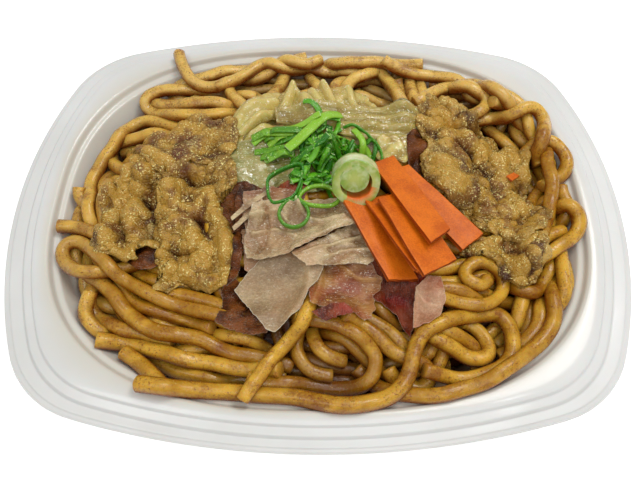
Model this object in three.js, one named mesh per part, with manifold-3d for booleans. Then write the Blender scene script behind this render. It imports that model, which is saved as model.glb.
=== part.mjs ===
// Yaki udon in its disposable foam tray: an oblong tray with a stepped rim and curved sides, a heap
// of thick fried noodles, sliced pork, cabbage, carrot strips, green onion and bonito flakes.
// Millimetres, +Z up. The origin is the middle of the tray's base, +Y is the back of the dish.
import * as THREE from "three";
import { mergeVertices } from "three/addons/utils/BufferGeometryUtils.js";
import Module from "manifold-3d";

const wasm = await Module();
wasm.setup();

// Tray
const TRAY_LENGTH = 225;
const TRAY_DEPTH = 175.5;
const LIP_HEIGHT = 26;
const FOAM = 2;
const END_ARC = 150;
const SIDE_ARC = 298;
const CORNER_ARC = 35;
const CORNER = new THREE.Vector2(69, 43.5);
const WELL_LENGTH = 192;
const WELL_DEPTH = 151.2;
const WELL_SQUARENESS = 2.6;
const TRAY_SPOKES = 48;

// Noodles
const NOODLE = 5.1;
const NOODLE_SIDES = 6;
const NOODLE_STEP = 9.2;
const HEAP_CLEARANCE = 3.2;
const HEAP_HOLLOW = 2.55;
const HEAP_CROWN = 3;
const HEAP_SHOULDER = 1.5;
const HEAP_SPOKES = 36;

// Toppings
const GAP = 0.35;
const PORK = 2.6;
const CABBAGE = 1.6;
const CABBAGE_RIB = 3;
const CARROT = 2.2;
const CARROT_SLOPE = 0.1;
const ONION = 1.4;
const FLAKE = 0.7;

const finish = (color, roughness) => new THREE.MeshStandardMaterial({ color, roughness, metalness: 0 });
const dish = new THREE.Group();

function addMesh(name, geometry, material) {
  const mesh = new THREE.Mesh(geometry, material);
  mesh.name = name;
  dish.add(mesh);
  return mesh;
}

// ---------------------------------------------------------------- plan curves

// Distance from the middle to the tray's outline, which is eight tangent arcs, in the direction of angle.
function outlineRadius(angle) {
  const ray = new THREE.Vector2(Math.abs(Math.cos(angle)), Math.abs(Math.sin(angle)));
  const endCentre = new THREE.Vector2(TRAY_LENGTH / 2 - END_ARC, 0);
  const sideCentre = new THREE.Vector2(0, TRAY_DEPTH / 2 - SIDE_ARC);
  const endJoin = CORNER.clone().sub(endCentre).setLength(END_ARC).add(endCentre);
  const sideJoin = CORNER.clone().sub(sideCentre).setLength(SIDE_ARC).add(sideCentre);
  let centre = CORNER;
  let radius = CORNER_ARC;
  if (ray.angle() < endJoin.angle()) {
    centre = endCentre;
    radius = END_ARC;
  } else if (ray.angle() > sideJoin.angle()) {
    centre = sideCentre;
    radius = SIDE_ARC;
  }
  const along = centre.dot(ray);
  return along + Math.sqrt(along * along - centre.lengthSq() + radius * radius);
}

// A point of the rim, set in from the outline by endIn at the short ends and sideIn at the long sides.
function rimPoint(angle, endIn, sideIn) {
  const radius = outlineRadius(angle);
  const x = radius * Math.cos(angle) * (1 - (2 * endIn) / TRAY_LENGTH);
  const y = radius * Math.sin(angle) * (1 - (2 * sideIn) / TRAY_DEPTH);
  return [x, y];
}

function superellipse(angle, halfLength, halfDepth, squareness) {
  const x = Math.abs(Math.cos(angle) / halfLength) ** squareness;
  const y = Math.abs(Math.sin(angle) / halfDepth) ** squareness;
  return (x + y) ** (-1 / squareness);
}

// A point of the well's wall, set in from the well's edge.
function wellPoint(angle, inset) {
  const radius = superellipse(angle, WELL_LENGTH / 2 - inset, WELL_DEPTH / 2 - inset, WELL_SQUARENESS);
  return [radius * Math.cos(angle), radius * Math.sin(angle)];
}

// ---------------------------------------------------------------- lofts

// A closed skin through rings of equal length, with a point at each end.
function loft(start, rings, end) {
  const count = rings[0].length;
  const positions = [start, ...rings.flat(), end].flat();
  const index = [];
  const at = (ring, spoke) => 1 + ring * count + (spoke % count);
  for (let spoke = 0; spoke < count; spoke++) {
    index.push(0, at(0, spoke + 1), at(0, spoke));
    for (let ring = 0; ring + 1 < rings.length; ring++) {
      index.push(at(ring, spoke), at(ring, spoke + 1), at(ring + 1, spoke + 1));
      index.push(at(ring, spoke), at(ring + 1, spoke + 1), at(ring + 1, spoke));
    }
    index.push(at(rings.length - 1, spoke), at(rings.length - 1, spoke + 1), positions.length / 3 - 1);
  }
  const geometry = new THREE.BufferGeometry();
  geometry.setAttribute("position", new THREE.Float32BufferAttribute(positions, 3));
  geometry.setIndex(index);
  return geometry;
}

// Even steps around the well, closer together at its corners.
const spokeAngles = (count) =>
  Array.from({ length: count }, (_, k) => {
    const turn = (2 * Math.PI * k) / count;
    const [x, y] = [Math.cos(turn), Math.sin(turn)].map((part) => Math.sign(part) * Math.abs(part) ** 0.8);
    return Math.atan2(WELL_DEPTH * y, WELL_LENGTH * x);
  });

// ---------------------------------------------------------------- tray

// The tray's section from the underside of the base, out over the rim and back down to the floor.
// Heights are above the lip. A rim step has its insets at the ends and at the sides.
function makeTray() {
  const base = -LIP_HEIGHT;
  const floor = base + FOAM;
  const section = [
    { well: 23, z: base },
    { well: 19.5, z: base + 0.7 },
    { well: 15.8, z: base + 2.4 },
    { well: 12.8, z: base + 5 },
    { well: 1.6, z: -1.5 },
    { well: -0.6, z: -0.6 },
    { well: -1.6, z: 1.8 },
    { rim: [10.9, 8.1], z: 1.5 },
    { rim: [8.4, 5.6], z: 0.2 },
    { rim: [6.6, 4.2], z: -0.9 },
    { rim: [0.6, 0.6], z: -1.8 },
    { rim: [0, 0], z: -0.9 },
    { rim: [0.5, 0.5], z: 0 },
    { rim: [3.4, 2.2], z: 0.7 },
    { rim: [7.2, 4.3], z: 1 },
    { rim: [8.1, 5.1], z: 2.1 },
    { rim: [10.2, 7.4], z: 2.6 },
    { rim: [11.2, 8.2], z: 3.5 },
    { well: -0.9, z: 3.9 },
    { well: 0, z: 3.4 },
    { well: 0.9, z: 1.3 },
    { well: 2.7, z: 0.8 },
    { well: 3.4, z: -0.4 },
    { well: 14.5, z: floor + 4 },
    { well: 17.4, z: floor + 1.3 },
    { well: 21.5, z: floor },
  ];
  const angles = spokeAngles(TRAY_SPOKES);
  const ring = ({ well, rim, z }) =>
    angles.map((angle) => {
      const plan = rim ? rimPoint(angle, ...rim) : wellPoint(angle, well);
      return [...plan, LIP_HEIGHT + z];
    });
  return loft([0, 0, 0], section.map(ring), [0, 0, FOAM]);
}

// ---------------------------------------------------------------- joins and the height of what lies below

function toManifold(geometry) {
  const plain = geometry.clone();
  plain.deleteAttribute("normal");
  plain.deleteAttribute("uv");
  const merged = mergeVertices(plain, 1e-3);
  const vertProperties = new Float32Array(merged.attributes.position.array);
  const triVerts = new Uint32Array(merged.index.array);
  return new wasm.Manifold(new wasm.Mesh({ numProp: 3, vertProperties, triVerts }));
}

function toGeometry(manifold) {
  const mesh = manifold.getMesh();
  const geometry = new THREE.BufferGeometry();
  geometry.setAttribute("position", new THREE.BufferAttribute(new Float32Array(mesh.vertProperties), 3));
  geometry.setIndex(new THREE.BufferAttribute(new Uint32Array(mesh.triVerts), 1));
  return geometry;
}

// Heights of the dish so far, one cell to a millimetre. Each new topping rests on it.
const cells = { width: 240, depth: 200 };
const heights = new Float32Array(cells.width * cells.depth).fill(FOAM);
const cellOf = (x, y) => Math.round(y + cells.depth / 2) * cells.width + Math.round(x + cells.width / 2);

function raiseHeights(geometry) {
  const position = geometry.attributes.position;
  const index = geometry.index.array;
  const corner = [0, 1, 2].map(() => new THREE.Vector3());
  const triangle = new THREE.Triangle();
  const weight = new THREE.Vector3();
  for (let face = 0; face < index.length; face += 3) {
    corner.forEach((point, k) => point.fromBufferAttribute(position, index[face + k]));
    const z = corner.map((point) => point.z);
    corner.forEach((point) => point.setZ(0));
    triangle.set(...corner);
    const xs = corner.map((point) => point.x);
    const ys = corner.map((point) => point.y);
    for (let x = Math.ceil(Math.min(...xs)); x <= Math.max(...xs); x++) {
      for (let y = Math.ceil(Math.min(...ys)); y <= Math.max(...ys); y++) {
        const inside = triangle.getBarycoord(new THREE.Vector3(x, y, 0), weight);
        if (inside && Math.min(weight.x, weight.y, weight.z) > -1e-6) {
          const cell = cellOf(x, y);
          heights[cell] = Math.max(heights[cell], weight.x * z[0] + weight.y * z[1] + weight.z * z[2]);
        }
      }
    }
  }
}

// The highest thing within reach of a point.
function highest(x, y, reach) {
  let top = 0;
  for (let dx = -reach; dx <= reach; dx++) {
    for (let dy = -reach; dy <= reach; dy++) {
      if (dx * dx + dy * dy <= (reach + 0.5) ** 2) {
        top = Math.max(top, heights[cellOf(x + dx, y + dy)]);
      }
    }
  }
  return top;
}

// ---------------------------------------------------------------- noodles

function noodle(points) {
  const route = points.map(([x, y, z]) => new THREE.Vector3(x, y, LIP_HEIGHT + z));
  const curve = new THREE.CatmullRomCurve3(route, false, "centripetal");
  const section = new THREE.Shape();
  for (let side = 0; side < NOODLE_SIDES; side++) {
    const turn = (2 * Math.PI * (side + 0.5)) / NOODLE_SIDES;
    const corner = [(NOODLE / 2) * Math.cos(turn), (NOODLE / 2) * Math.sin(turn)];
    if (side === 0) {
      section.moveTo(...corner);
    } else {
      section.lineTo(...corner);
    }
  }
  section.closePath();
  const steps = Math.ceil(curve.getLength() / NOODLE_STEP);
  return new THREE.ExtrudeGeometry(section, { steps, extrudePath: curve, bevelEnabled: false });
}

// The mound under the loose noodles: it fills the well up to its uneven side and crowns in the middle.
// Near the rim it stands clear of the wall, most of all at the back left.
function makeMound() {
  const angles = spokeAngles(HEAP_SPOKES);
  const clearance = (angle) => {
    const backLeft = Math.max(0, Math.cos(angle - HEAP_HOLLOW)) ** 2;
    return HEAP_CLEARANCE + 4 * backLeft + 0.9 * Math.sin(7 * angle);
  };
  const sideRing = (inset, z, share = 1) =>
    angles.map((angle) => [...wellPoint(angle, inset + share * clearance(angle)), LIP_HEIGHT + z]);
  const floor = FOAM + GAP;
  const rings = [
    angles.map((angle) => [...wellPoint(angle, 22.5), floor]),
    angles.map((angle) => [...wellPoint(angle, 18), floor + 1.6]),
    sideRing(14.8, -19.4, 0.1),
    sideRing(9.5, -10, 0.2),
    sideRing(6.8, -4, 0.7),
    sideRing(6.5, 0),
  ];
  for (const scale of [0.9, 0.74, 0.52, 0.26]) {
    const z = HEAP_SHOULDER + HEAP_CROWN * (1 - scale ** 2);
    rings.push(sideRing(6.5, z).map(([x, y, top], k) => [x * scale, y * scale, top + (k % 2 ? 0.5 : -0.5)]));
  }
  return loft([0, 0, floor], rings, [0, 0, LIP_HEIGHT + HEAP_SHOULDER + HEAP_CROWN]);
}

// The noodles that stand out of the heap, each by the points that its middle passes through.
// Heights are above the lip.
const strands = {
  leftLoopBack: [[-88.5, -23.5, 4.5], [-84, -18.5, 5], [-76, -23.5, 6], [-64, -34, 6], [-50, -41, 6],
    [-26, -47, 5]],
  leftLoopFront: [[-88.5, -23, 4.5], [-83, -29, 3], [-74, -32, 3], [-62, -45, 3], [-50, -52, 4],
    [-20, -60.5, 4]],
  leftLow: [[-75, -33, -2], [-74, -43, -2], [-67, -49.5, 0], [-52, -55, 1]],
  frontLeftEnd: [[-70.5, -53.5, 3], [-56, -56, 3], [-40, -61, 2], [-20, -63.5, 2]],
  frontEdge: [[-56, -68.2, 7.2], [-40, -70.2, 7.2], [-20, -71.3, 7.2], [6, -74.4, 7.2], [20, -72.5, 7.2],
    [29, -63, 7], [34, -51, 7.5], [50, -45, 7.5], [60, -45.5, 6.5], [62.5, -54, 5.5], [56, -63, 5],
    [36, -65, 4]],
  diagonal: [[-22, -72, 10], [-16, -62, 10], [-9, -53, 10], [-2, -40, 9]],
  frontLoop: [[-2, -47, 4.5], [11, -49, 4.5], [18.5, -58, 3.5], [15, -67, 3], [2, -69, 3],
    [-16, -66.5, 2.5]],
  rightEdge: [[78, -30, 4], [78, -41, 4], [72, -53, 4.4], [60, -61.5, 5.5], [44, -69.2, 7.2],
    [30, -71.4, 7.2]],
  rightUpright: [[86, 28, 6], [86.5, 12, 6], [84, 0, 7], [80, -11, 7], [76, -24, 5]],
  rightLoop: [[83, -5, 5], [88.5, -2.5, 6.5], [92.3, -9, 7.2], [88.5, -17, 6], [76, -24, 4]],
  rightUpperLoop: [[84, 23, 5], [90, 23.5, 7.2], [93, 17, 7.2], [90, 9, 7], [84, 5, 4]],
  backRight: [[62, 36, 6], [73, 37, 7], [82, 42, 7.2], [87, 36, 7.2], [86, 24, 5]],
  ring: [[49, -31, 4], [52, -27, 4], [59, -26.5, 4], [61.5, -33, 5], [57, -39, 5], [50.5, -38, 5]],
  ringTail: [[62, -34, 4], [70, -37, 4], [77, -34, 4], [79, -26, 3]],
  backTip: [[-58, 69, 9.5], [-56, 62, 8], [-52, 55, 5], [-42, 52.5, 4], [-33, 57, 4], [-24, 64.5, 4],
    [-8, 62.5, 4], [18, 61.5, 4]],
  backArch: [[11, 54, 3], [20, 61.5, 5], [28, 56, 6], [33, 44, 6]],
  backCorner: [[44, 47, 5], [53, 53, 5], [64, 53, 5], [67, 45, 5], [60, 36, 5]],
  upperLeftLoop: [[-36, 49, 4], [-56, 51, 3], [-68, 48, 3], [-67, 40, 2], [-54, 37.5, 4], [-36, 38, 5]],
  leftEdge: [[-67, 36, 2], [-75, 27, 1], [-79, 15, 1], [-83.5, 3, 1], [-81, -10, 2], [-76, -22, 3]],
  leftStub: [[-90, -13, 0.5], [-83, -13, 1], [-74, -16, 2]],
};

function makeHeap() {
  let heap = toManifold(makeMound());
  for (const points of Object.values(strands)) {
    heap = heap.add(toManifold(noodle(points)));
  }
  return toGeometry(heap);
}

// ---------------------------------------------------------------- toppings

// Points around an outline at even steps, anticlockwise.
function around(outline, count, smooth) {
  const points = outline.map(([x, y]) => new THREE.Vector2(x, y));
  if (THREE.ShapeUtils.area(points) < 0) {
    points.reverse();
  }
  const ring = points.map(({ x, y }) => new THREE.Vector3(x, y, 0));
  const curve = new THREE.CatmullRomCurve3(ring, true, "catmullrom", smooth);
  return curve.getSpacedPoints(count).slice(0, count);
}

// A soft slice laid on the dish. It follows what is under it, and bridges the hollows.
function drape(outline, { thick, swell = 0, ripple = 0, spokes = 16, rings = 3, smooth = 0.5, reach = 4 }) {
  const edge = around(outline, spokes, smooth);
  const middle = edge.reduce((sum, point) => sum.add(point), new THREE.Vector3()).divideScalar(spokes);
  const grid = [];
  for (let ring = 1; ring <= rings; ring++) {
    grid.push(edge.map((point) => middle.clone().lerp(point, ring / rings)));
  }
  const points = [middle, ...grid.flat()];
  const rest = points.map(({ x, y }) => highest(x, y, reach) + GAP);
  let lie = rest.slice();
  const near = (k) => {
    if (k === 0) {
      return grid[0].map((_, spoke) => 1 + spoke);
    }
    const ring = Math.floor((k - 1) / spokes);
    const spoke = (k - 1) % spokes;
    const at = (r, s) => 1 + r * spokes + ((s + spokes) % spokes);
    const inward = ring === 0 ? 0 : at(ring - 1, spoke);
    const outward = ring + 1 < rings ? [at(ring + 1, spoke)] : [];
    return [at(ring, spoke - 1), at(ring, spoke + 1), inward, ...outward];
  };
  for (let pass = 0; pass < 4; pass++) {
    lie = lie.map((z, k) => {
      const around = near(k);
      const mean = around.reduce((sum, other) => sum + lie[other], 0) / around.length;
      return Math.max(rest[k], mean);
    });
  }
  const lift = points.map(({ x, y }, k) => {
    const inner = k === 0 ? 1 : 1 - (Math.floor((k - 1) / spokes) + 1) / rings;
    const wave = ripple * Math.sin(0.42 * x + 0.23 * y) * Math.cos(0.31 * y - 0.12 * x);
    return thick + swell * Math.sqrt(inner) + (inner > 0 ? wave : 0);
  });
  const under = points.map(({ x, y }, k) => [x, y, lie[k]]);
  const over = points.map(({ x, y }, k) => [x, y, lie[k] + lift[k]]);
  const ringOf = (list, ring) => list.slice(1 + ring * spokes, 1 + (ring + 1) * spokes);
  const rise = [];
  for (let ring = 0; ring < rings; ring++) {
    rise.push(ringOf(under, ring));
  }
  for (let ring = rings - 1; ring >= 0; ring--) {
    rise.push(ringOf(over, ring));
  }
  return loft(under[0], rise, over[0]);
}

// Points of a flat piece's underside, a few millimetres apart.
function underside(geometry) {
  const position = geometry.attributes.position;
  const corner = [0, 1, 2].map(() => new THREE.Vector3());
  const points = [];
  for (let k = 0; k < position.count; k += 3) {
    corner.forEach((point, n) => point.fromBufferAttribute(position, k + n));
    if (corner.every((point) => Math.abs(point.z) < 1e-6)) {
      const parts = Math.ceil(corner[0].distanceTo(corner[1]) / 2);
      for (let a = 0; a <= parts; a++) {
        for (let b = 0; a + b <= parts; b++) {
          const point = corner[0].clone().multiplyScalar(1 - (a + b) / parts);
          point.addScaledVector(corner[1], a / parts).addScaledVector(corner[2], b / parts);
          points.push(point);
        }
      }
    }
  }
  return points;
}

// Sets a stiff flat piece, made around its own middle, on the dish. It rises towards the back by slope.
function rest(geometry, { x, y, spin = 0, slope = 0, reach = 2 }) {
  geometry.rotateZ(spin);
  const feet = underside(geometry);
  const heightAt = (foot) => highest(x + foot.x, y + foot.y, reach) - slope * foot.y;
  const clear = Math.max(...feet.map(heightAt)) + GAP;
  geometry.rotateX(Math.atan(slope));
  geometry.translate(x, y, clear);
  return geometry;
}

function flatPiece(shape, thick, curveSegments) {
  return new THREE.ExtrudeGeometry(shape, { depth: thick, bevelEnabled: false, curveSegments });
}

function place(name, geometry, material) {
  const plain = geometry.clone();
  plain.deleteAttribute("normal");
  plain.deleteAttribute("uv");
  const merged = mergeVertices(plain, 1e-3);
  raiseHeights(merged);
  addMesh(name, merged, material);
}

const foam = finish("#e9ebe7", 0.55);
const noodleBrown = finish("#b9863f", 0.35);
const porkBrown = finish("#9c7440", 0.45);
const cabbageYellow = finish("#c8bd7c", 0.4);
const carrotOrange = finish("#de6a22", 0.45);
const onionGreen = finish("#4f9a2c", 0.4);
const onionPale = finish("#b9d48c", 0.4);
const flakeTan = finish("#c4a488", 0.6);
const flakeRed = finish("#a4534a", 0.5);

const tray = makeTray();
addMesh("tray", tray, foam);
raiseHeights(tray);
const heap = makeHeap();
addMesh("noodle_heap", heap, noodleBrown);
raiseHeights(heap);

// Cabbage, under the other toppings
const cabbages = {
  cabbage_back: [[-4, 49], [1, 53], [7, 49], [18, 49], [23, 40], [10, 35], [0, 38]],
  cabbage_wedge: [[-16, 46], [-12, 54], [-5, 47], [1, 41], [-4, 34], [-14, 36]],
  cabbage_strip: [[-36, 25], [-28, 36], [-20, 45], [-15, 44], [-17, 32], [-28, 21]],
  cabbage_rib: [[0, 29], [10, 36], [25, 37], [37, 36], [36, 24], [22, 22], [8, 22]],
  cabbage_middle: [[-31, 19], [-18, 24], [2, 22], [4, 6], [-8, -4], [-22, -3], [-31, 9]],
  cabbage_small: [[19, 22], [32, 22], [33, 17], [30, 11], [20, 12]],
};
for (const [name, outline] of Object.entries(cabbages)) {
  const thick = name === "cabbage_rib" ? CABBAGE_RIB : CABBAGE;
  place(name, drape(outline, { thick, ripple: 0.4, spokes: 14, rings: 2, reach: 5 }), cabbageYellow);
}

// Pork slices, with thick folds
const porks = {
  pork_left_side: { swell: 1.2, outline: [[-78, 1], [-70, 8], [-60, 10], [-56, -2], [-56, -22], [-60, -28],
    [-67, -24], [-72, -12]] },
  pork_left_front: { swell: 1.6, outline: [[-54, 6], [-40, 10], [-31, 4], [-29, -12], [-29, -30], [-34, -39],
    [-48, -38], [-54, -30], [-53, -14]] },
  pork_left_back: { swell: 1.2, outline: [[-76, 16], [-66, 24], [-50, 31], [-40, 29], [-31, 24], [-31, 12],
    [-45, 11], [-58, 8], [-66, 12]] },
  pork_right: { swell: 1, outline: [[37, 24], [44, 38], [52, 34], [62, 29], [70, 21], [77, 14], [74, 2],
    [72, -12], [66, -24], [57, -15], [48, -5], [42, 10]] },
  pork_right_fold: { swell: 3.5, outline: [[41, 5], [43, 13], [50, 15.5], [55.5, 9], [56.5, -1],
    [51, -5.5], [45, -1]] },
  pork_right_front: { swell: 0.8, outline: [[51, -22.5], [57, -19], [66, -19.5], [75, -23], [75, -29],
    [69, -34.5], [62.5, -32.5], [57, -27]] },
};
for (const [name, { outline, swell }] of Object.entries(porks)) {
  place(name, drape(outline, { thick: PORK, swell, ripple: 0.8, spokes: 20, rings: 3 }), porkBrown);
}

// Bonito flakes, thin and torn, in the order in which they fell
const flakes = {
  bonito_red: { color: flakeRed, outline: [[22, -34], [32, -33], [31, -50], [21, -49]] },
  bonito_pale: { color: flakeTan, outline: [[30, -40], [38, -42], [39, -52], [31, -54]] },
  bonito_brown: { color: flakeRed, outline: [[-29, -18], [-22, -22], [-22, -33], [-28, -42], [-30, -34]] },
  bonito_pink: { color: flakeTan, outline: [[0, -30], [16, -31], [20, -38], [17, -50], [6, -52], [-3, -46]] },
  bonito_front: { color: flakeTan, outline: [[-27, -40], [-22, -30], [-2, -30], [-3, -40], [-8, -52],
    [-17, -52]] },
  bonito_side: { color: flakeTan, outline: [[-25, -6], [-18, -4], [-10, -14], [-16, -20], [-25, -18]] },
  bonito_crumpled: { color: flakeTan, outline: [[-24, -20], [-12, -13], [6, -12], [14, -15], [18, -24],
    [14, -31], [-4, -30], [-22, -33]] },
};
const flakeLie = { thick: FLAKE, ripple: 0.25, spokes: 14, rings: 2, smooth: 0.2, reach: 5 };
for (const [name, { outline, color }] of Object.entries(flakes)) {
  place(name, drape(outline, flakeLie), color);
}

// Carrot strips, cut flat, leaning over each other
const carrots = [
  { length: 36, width: 8, x: 23, y: -12, spin: -1.02 },
  { length: 36, width: 9.5, x: 40, y: -9, spin: -0.86 },
  { length: 38, width: 10, x: 19.5, y: -18, spin: -1.15 },
  { length: 38, width: 9.5, x: 31, y: -15.5, spin: -1.05 },
  { length: 37, width: 9.2, x: 32.4, y: -8.5, spin: -1.03 },
];
carrots.forEach(({ length, width, ...lie }, k) => {
  const strip = new THREE.Shape();
  strip.moveTo(-length / 2, -width / 2);
  strip.lineTo(length / 2, -width / 2);
  strip.lineTo(length / 2, width / 2);
  strip.lineTo(-length / 2, width / 2);
  strip.closePath();
  const geometry = rest(flatPiece(strip, CARROT, 1), { ...lie, slope: CARROT_SLOPE });
  place(`carrot_strip_${k + 1}`, geometry, carrotOrange);
});

// Green onion: a pile of shreds, cut rings and one wide pale slice
const shreds = [[-24, 22], [-16, 29], [0, 29], [8, 33], [18, 27], [22, 17], [10, 14], [-8, 12], [-20, 15]];
place("onion_pile", drape(shreds, { thick: 2.4, swell: 3, ripple: 0.5, spokes: 18, reach: 3 }), onionGreen);
const rings = {
  onion_ring_left: { x: -12, y: 2, radius: 6.5, hole: 4.6 },
  onion_ring_mid: { x: 0, y: 0, radius: 5.5, hole: 3.4 },
  onion_ring_front: { x: -9.5, y: -10.5, radius: 5.4, hole: 4 },
};
for (const [name, { x, y, radius, hole }] of Object.entries(rings)) {
  const ring = new THREE.Shape();
  ring.absarc(0, 0, radius, 0, 2 * Math.PI, false);
  ring.holes.push(new THREE.Path().absarc(0, 0, hole, 0, 2 * Math.PI, true));
  place(name, rest(flatPiece(ring, ONION, 8), { x, y }), onionGreen);
}
const slice = new THREE.Shape();
slice.absellipse(0, 0, 8.6, 11.2, 0, 2 * Math.PI, false, -0.35);
const slit = new THREE.Path();
slit.absellipse(2.2, -4.6, 3.6, 1.4, 0, 2 * Math.PI, true, 0.6);
slice.holes.push(slit);
place("onion_slice", rest(flatPiece(slice, ONION, 8), { x: 10.3, y: 0, slope: 0.12 }), onionPale);

export default dish;
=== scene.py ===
import math
import random

import bpy
import numpy as np
from mathutils import Matrix, Vector, noise


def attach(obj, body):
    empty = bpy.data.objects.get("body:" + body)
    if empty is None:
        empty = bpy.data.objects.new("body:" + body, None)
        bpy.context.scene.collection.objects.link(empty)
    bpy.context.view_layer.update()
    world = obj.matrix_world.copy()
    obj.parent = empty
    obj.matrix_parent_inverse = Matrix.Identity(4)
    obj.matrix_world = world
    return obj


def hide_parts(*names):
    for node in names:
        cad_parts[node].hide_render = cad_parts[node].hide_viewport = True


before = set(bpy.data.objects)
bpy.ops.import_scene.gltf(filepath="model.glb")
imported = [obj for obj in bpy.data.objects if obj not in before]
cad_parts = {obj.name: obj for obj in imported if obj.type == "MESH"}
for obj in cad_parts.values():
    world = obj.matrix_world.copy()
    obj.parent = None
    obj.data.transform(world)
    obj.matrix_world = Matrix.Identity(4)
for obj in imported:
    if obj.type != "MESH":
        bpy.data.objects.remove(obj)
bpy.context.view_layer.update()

# Sizes are in millimetres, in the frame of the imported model.
MM = 0.001
LIP = 26.0
TRAY_LENGTH = 225.0
TRAY_DEPTH = 175.5
FOAM = 2.0
END_ARC = 150.0
SIDE_ARC = 298.0
CORNER_ARC = 35.0
CORNER = (69.0, 43.5)
TRAY_SPOKES = 256
WELL_LENGTH = 192.0
WELL_DEPTH = 151.2
WELL_SQUARENESS = 2.6
NOODLE_RADIUS = 2.4
LOOSE_NOODLES = 82
# How firmly the loose noodles and the seen ones keep to their routes while they settle.
LOOSE_HOLD = 0.02
SEEN_HOLD = 0.12
# How near two noodles come, as a share of their two radii.
SQUASH = 0.93
# The side of a cell in the field of heights, and the cells that are left free along its edge.
BED_CELL = 0.8
BED_MARGIN = 8
MOUND_SQUARENESS = 2.4
# The eye from which the marks of the routes and outlines are taken.
EYE = (-0.7, -115.6, 215.0)
# In metres: how far away the lamps stand, and how far the floor stays under the tray.
LAMP_DISTANCE = 0.8
FLOOR_GAP = 0.0003
# How far out a sheet starts to thin, as a share of the way from its middle to its rim.
THIN_RIM = 0.86
# The heights above the lip at which the routes and outlines of each kind are marked.
NOODLE_MARKS = 6
TOPPING_MARKS = 14
SLICE_MARKS = 17


# ---------------------------------------------------------------- shader expressions

class Sock:
    """A socket in a node tree. Arithmetic on it adds Math nodes, and node() adds any other."""

    def __init__(self, tree, socket):
        self.tree = tree
        self.socket = socket

    def node(self, kind, inputs, out=0, **settings):
        made = self.tree.nodes.new("ShaderNode" + kind)
        for name, value in settings.items():
            setattr(made, name, value)
        for name, value in inputs.items():
            if isinstance(value, Sock):
                self.tree.links.new(value.socket, made.inputs[name])
            else:
                made.inputs[name].default_value = value
        return Sock(self.tree, made.outputs[out])

    def math(self, operation, *values):
        return self.node("Math", dict(enumerate(values)), operation=operation)

    def __add__(self, other):
        return self.math("ADD", self, other)

    __radd__ = __add__

    def __sub__(self, other):
        return self.math("SUBTRACT", self, other)

    def __rsub__(self, other):
        return self.math("SUBTRACT", other, self)

    def __mul__(self, other):
        return self.math("MULTIPLY", self, other)

    __rmul__ = __mul__

    def between(self, low, high):
        """0 at low and 1 at high, with soft ends."""
        sockets = {"Value": self, "From Min": low, "From Max": high}
        return self.node("MapRange", sockets, interpolation_type="SMOOTHSTEP")

    def blend(self, first, second):
        """The colour first where this is 0 and second where it is 1. Each is a socket or a #rrggbb code."""
        first, second = (tint(colour) if isinstance(colour, str) else colour for colour in (first, second))
        return self.node("Mix", {0: self, 6: first, 7: second}, out=2, data_type="RGBA")

    def stretch(self, x, y, z):
        return self.node("Mapping", {"Vector": self, "Scale": (x, y, z)})

    def noise(self, scale, detail=3.0, rough=0.55):
        return self.node("TexNoise", {"Vector": self, "Scale": scale, "Detail": detail, "Roughness": rough})

    def cells(self, scale, feature="F1"):
        return self.node("TexVoronoi", {"Vector": self, "Scale": scale}, feature=feature)

    def bump(self, strength, distance):
        return self.node("Bump", {"Height": self, "Strength": strength, "Distance": distance})


def tint(code):
    """A colour of a paint chart, as #rrggbb, in the renderer's linear values."""
    parts = [int(code[k:k + 2], 16) / 255 for k in (1, 3, 5)]
    return tuple(v / 12.92 if v <= 0.04045 else ((v + 0.055) / 1.055) ** 2.4 for v in parts) + (1.0,)


def material(name, paint, **constants):
    """A Principled material. paint gets the place in millimetres and returns what varies."""
    made = bpy.data.materials.new(name)
    made.use_nodes = True
    tree = made.node_tree
    shader = tree.nodes["Principled BSDF"]
    for socket, value in constants.items():
        shader.inputs[socket.replace("_", " ")].default_value = value
    origin = Sock(tree, tree.nodes.new("ShaderNodeTexCoord").outputs["Object"])
    place = origin.node("VectorMath", {0: origin, "Scale": 1 / MM}, operation="SCALE")
    for socket, value in paint(place).items():
        tree.links.new(value.socket, shader.inputs[socket])
    return made


def attribute(place, name):
    return place.node("Attribute", {}, out=2, attribute_name=name)


def axis(place, which):
    return place.node("SeparateXYZ", {0: place}, out="XYZ".index(which))


def height(place):
    return axis(place, "Z")


def painted_glints(place, scale, share):
    """Painted glints: small bright specks in clusters on surfaces that face up, standing in for highlights of
    the lamps, 1 on a speck.
    """
    specks = place.noise(scale, 2.0, 0.6).between(0.66 - share, 0.7 - share)
    return specks * place.noise(0.3, 2.0).between(0.36, 0.58) * facing_up(place).between(0.1, 0.8)


def facing_up(place):
    """1 where the surface looks up and -1 where it looks down."""
    return height(place.node("NewGeometry", {}, out=1))


# ---------------------------------------------------------------- mesh helpers

def add_mesh(name, points, faces, paint, marks=None, slot=None, replaces=()):
    """A piece from points in millimetres. marks are named values, one to a point."""
    mesh = bpy.data.meshes.new(name)
    mesh.from_pydata((np.asarray(points) * MM).tolist(), [], faces)
    for mark, values in (marks or {}).items():
        add_mark(mesh, mark, values)
    obj = bpy.data.objects.new(name, mesh)
    finish(obj, paint)
    mesh.update()
    bpy.context.collection.objects.link(obj)
    return settle(obj, replaces)


def add_mark(mesh, name, values):
    """Keeps a value at each point, for the paint to read."""
    mesh.attributes.new(name, "FLOAT", "POINT").data.foreach_set("value", np.asarray(values, dtype=float))


def settle(obj, replaces=()):
    """The piece rides on the part's one body, and stands for the CAD nodes it replaces."""
    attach(obj, "root")
    if replaces:
        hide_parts(*replaces)
    return obj


def only(obj):
    """Selects this object and nothing else."""
    bpy.ops.object.select_all(action="DESELECT")
    obj.select_set(True)
    bpy.context.view_layer.objects.active = obj


def primitive(operator, name, **settings):
    """A new primitive, the only thing selected."""
    bpy.ops.object.select_all(action="DESELECT")
    operator(**settings)
    piece = bpy.context.object
    piece.name = piece.data.name = name
    return piece


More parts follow.
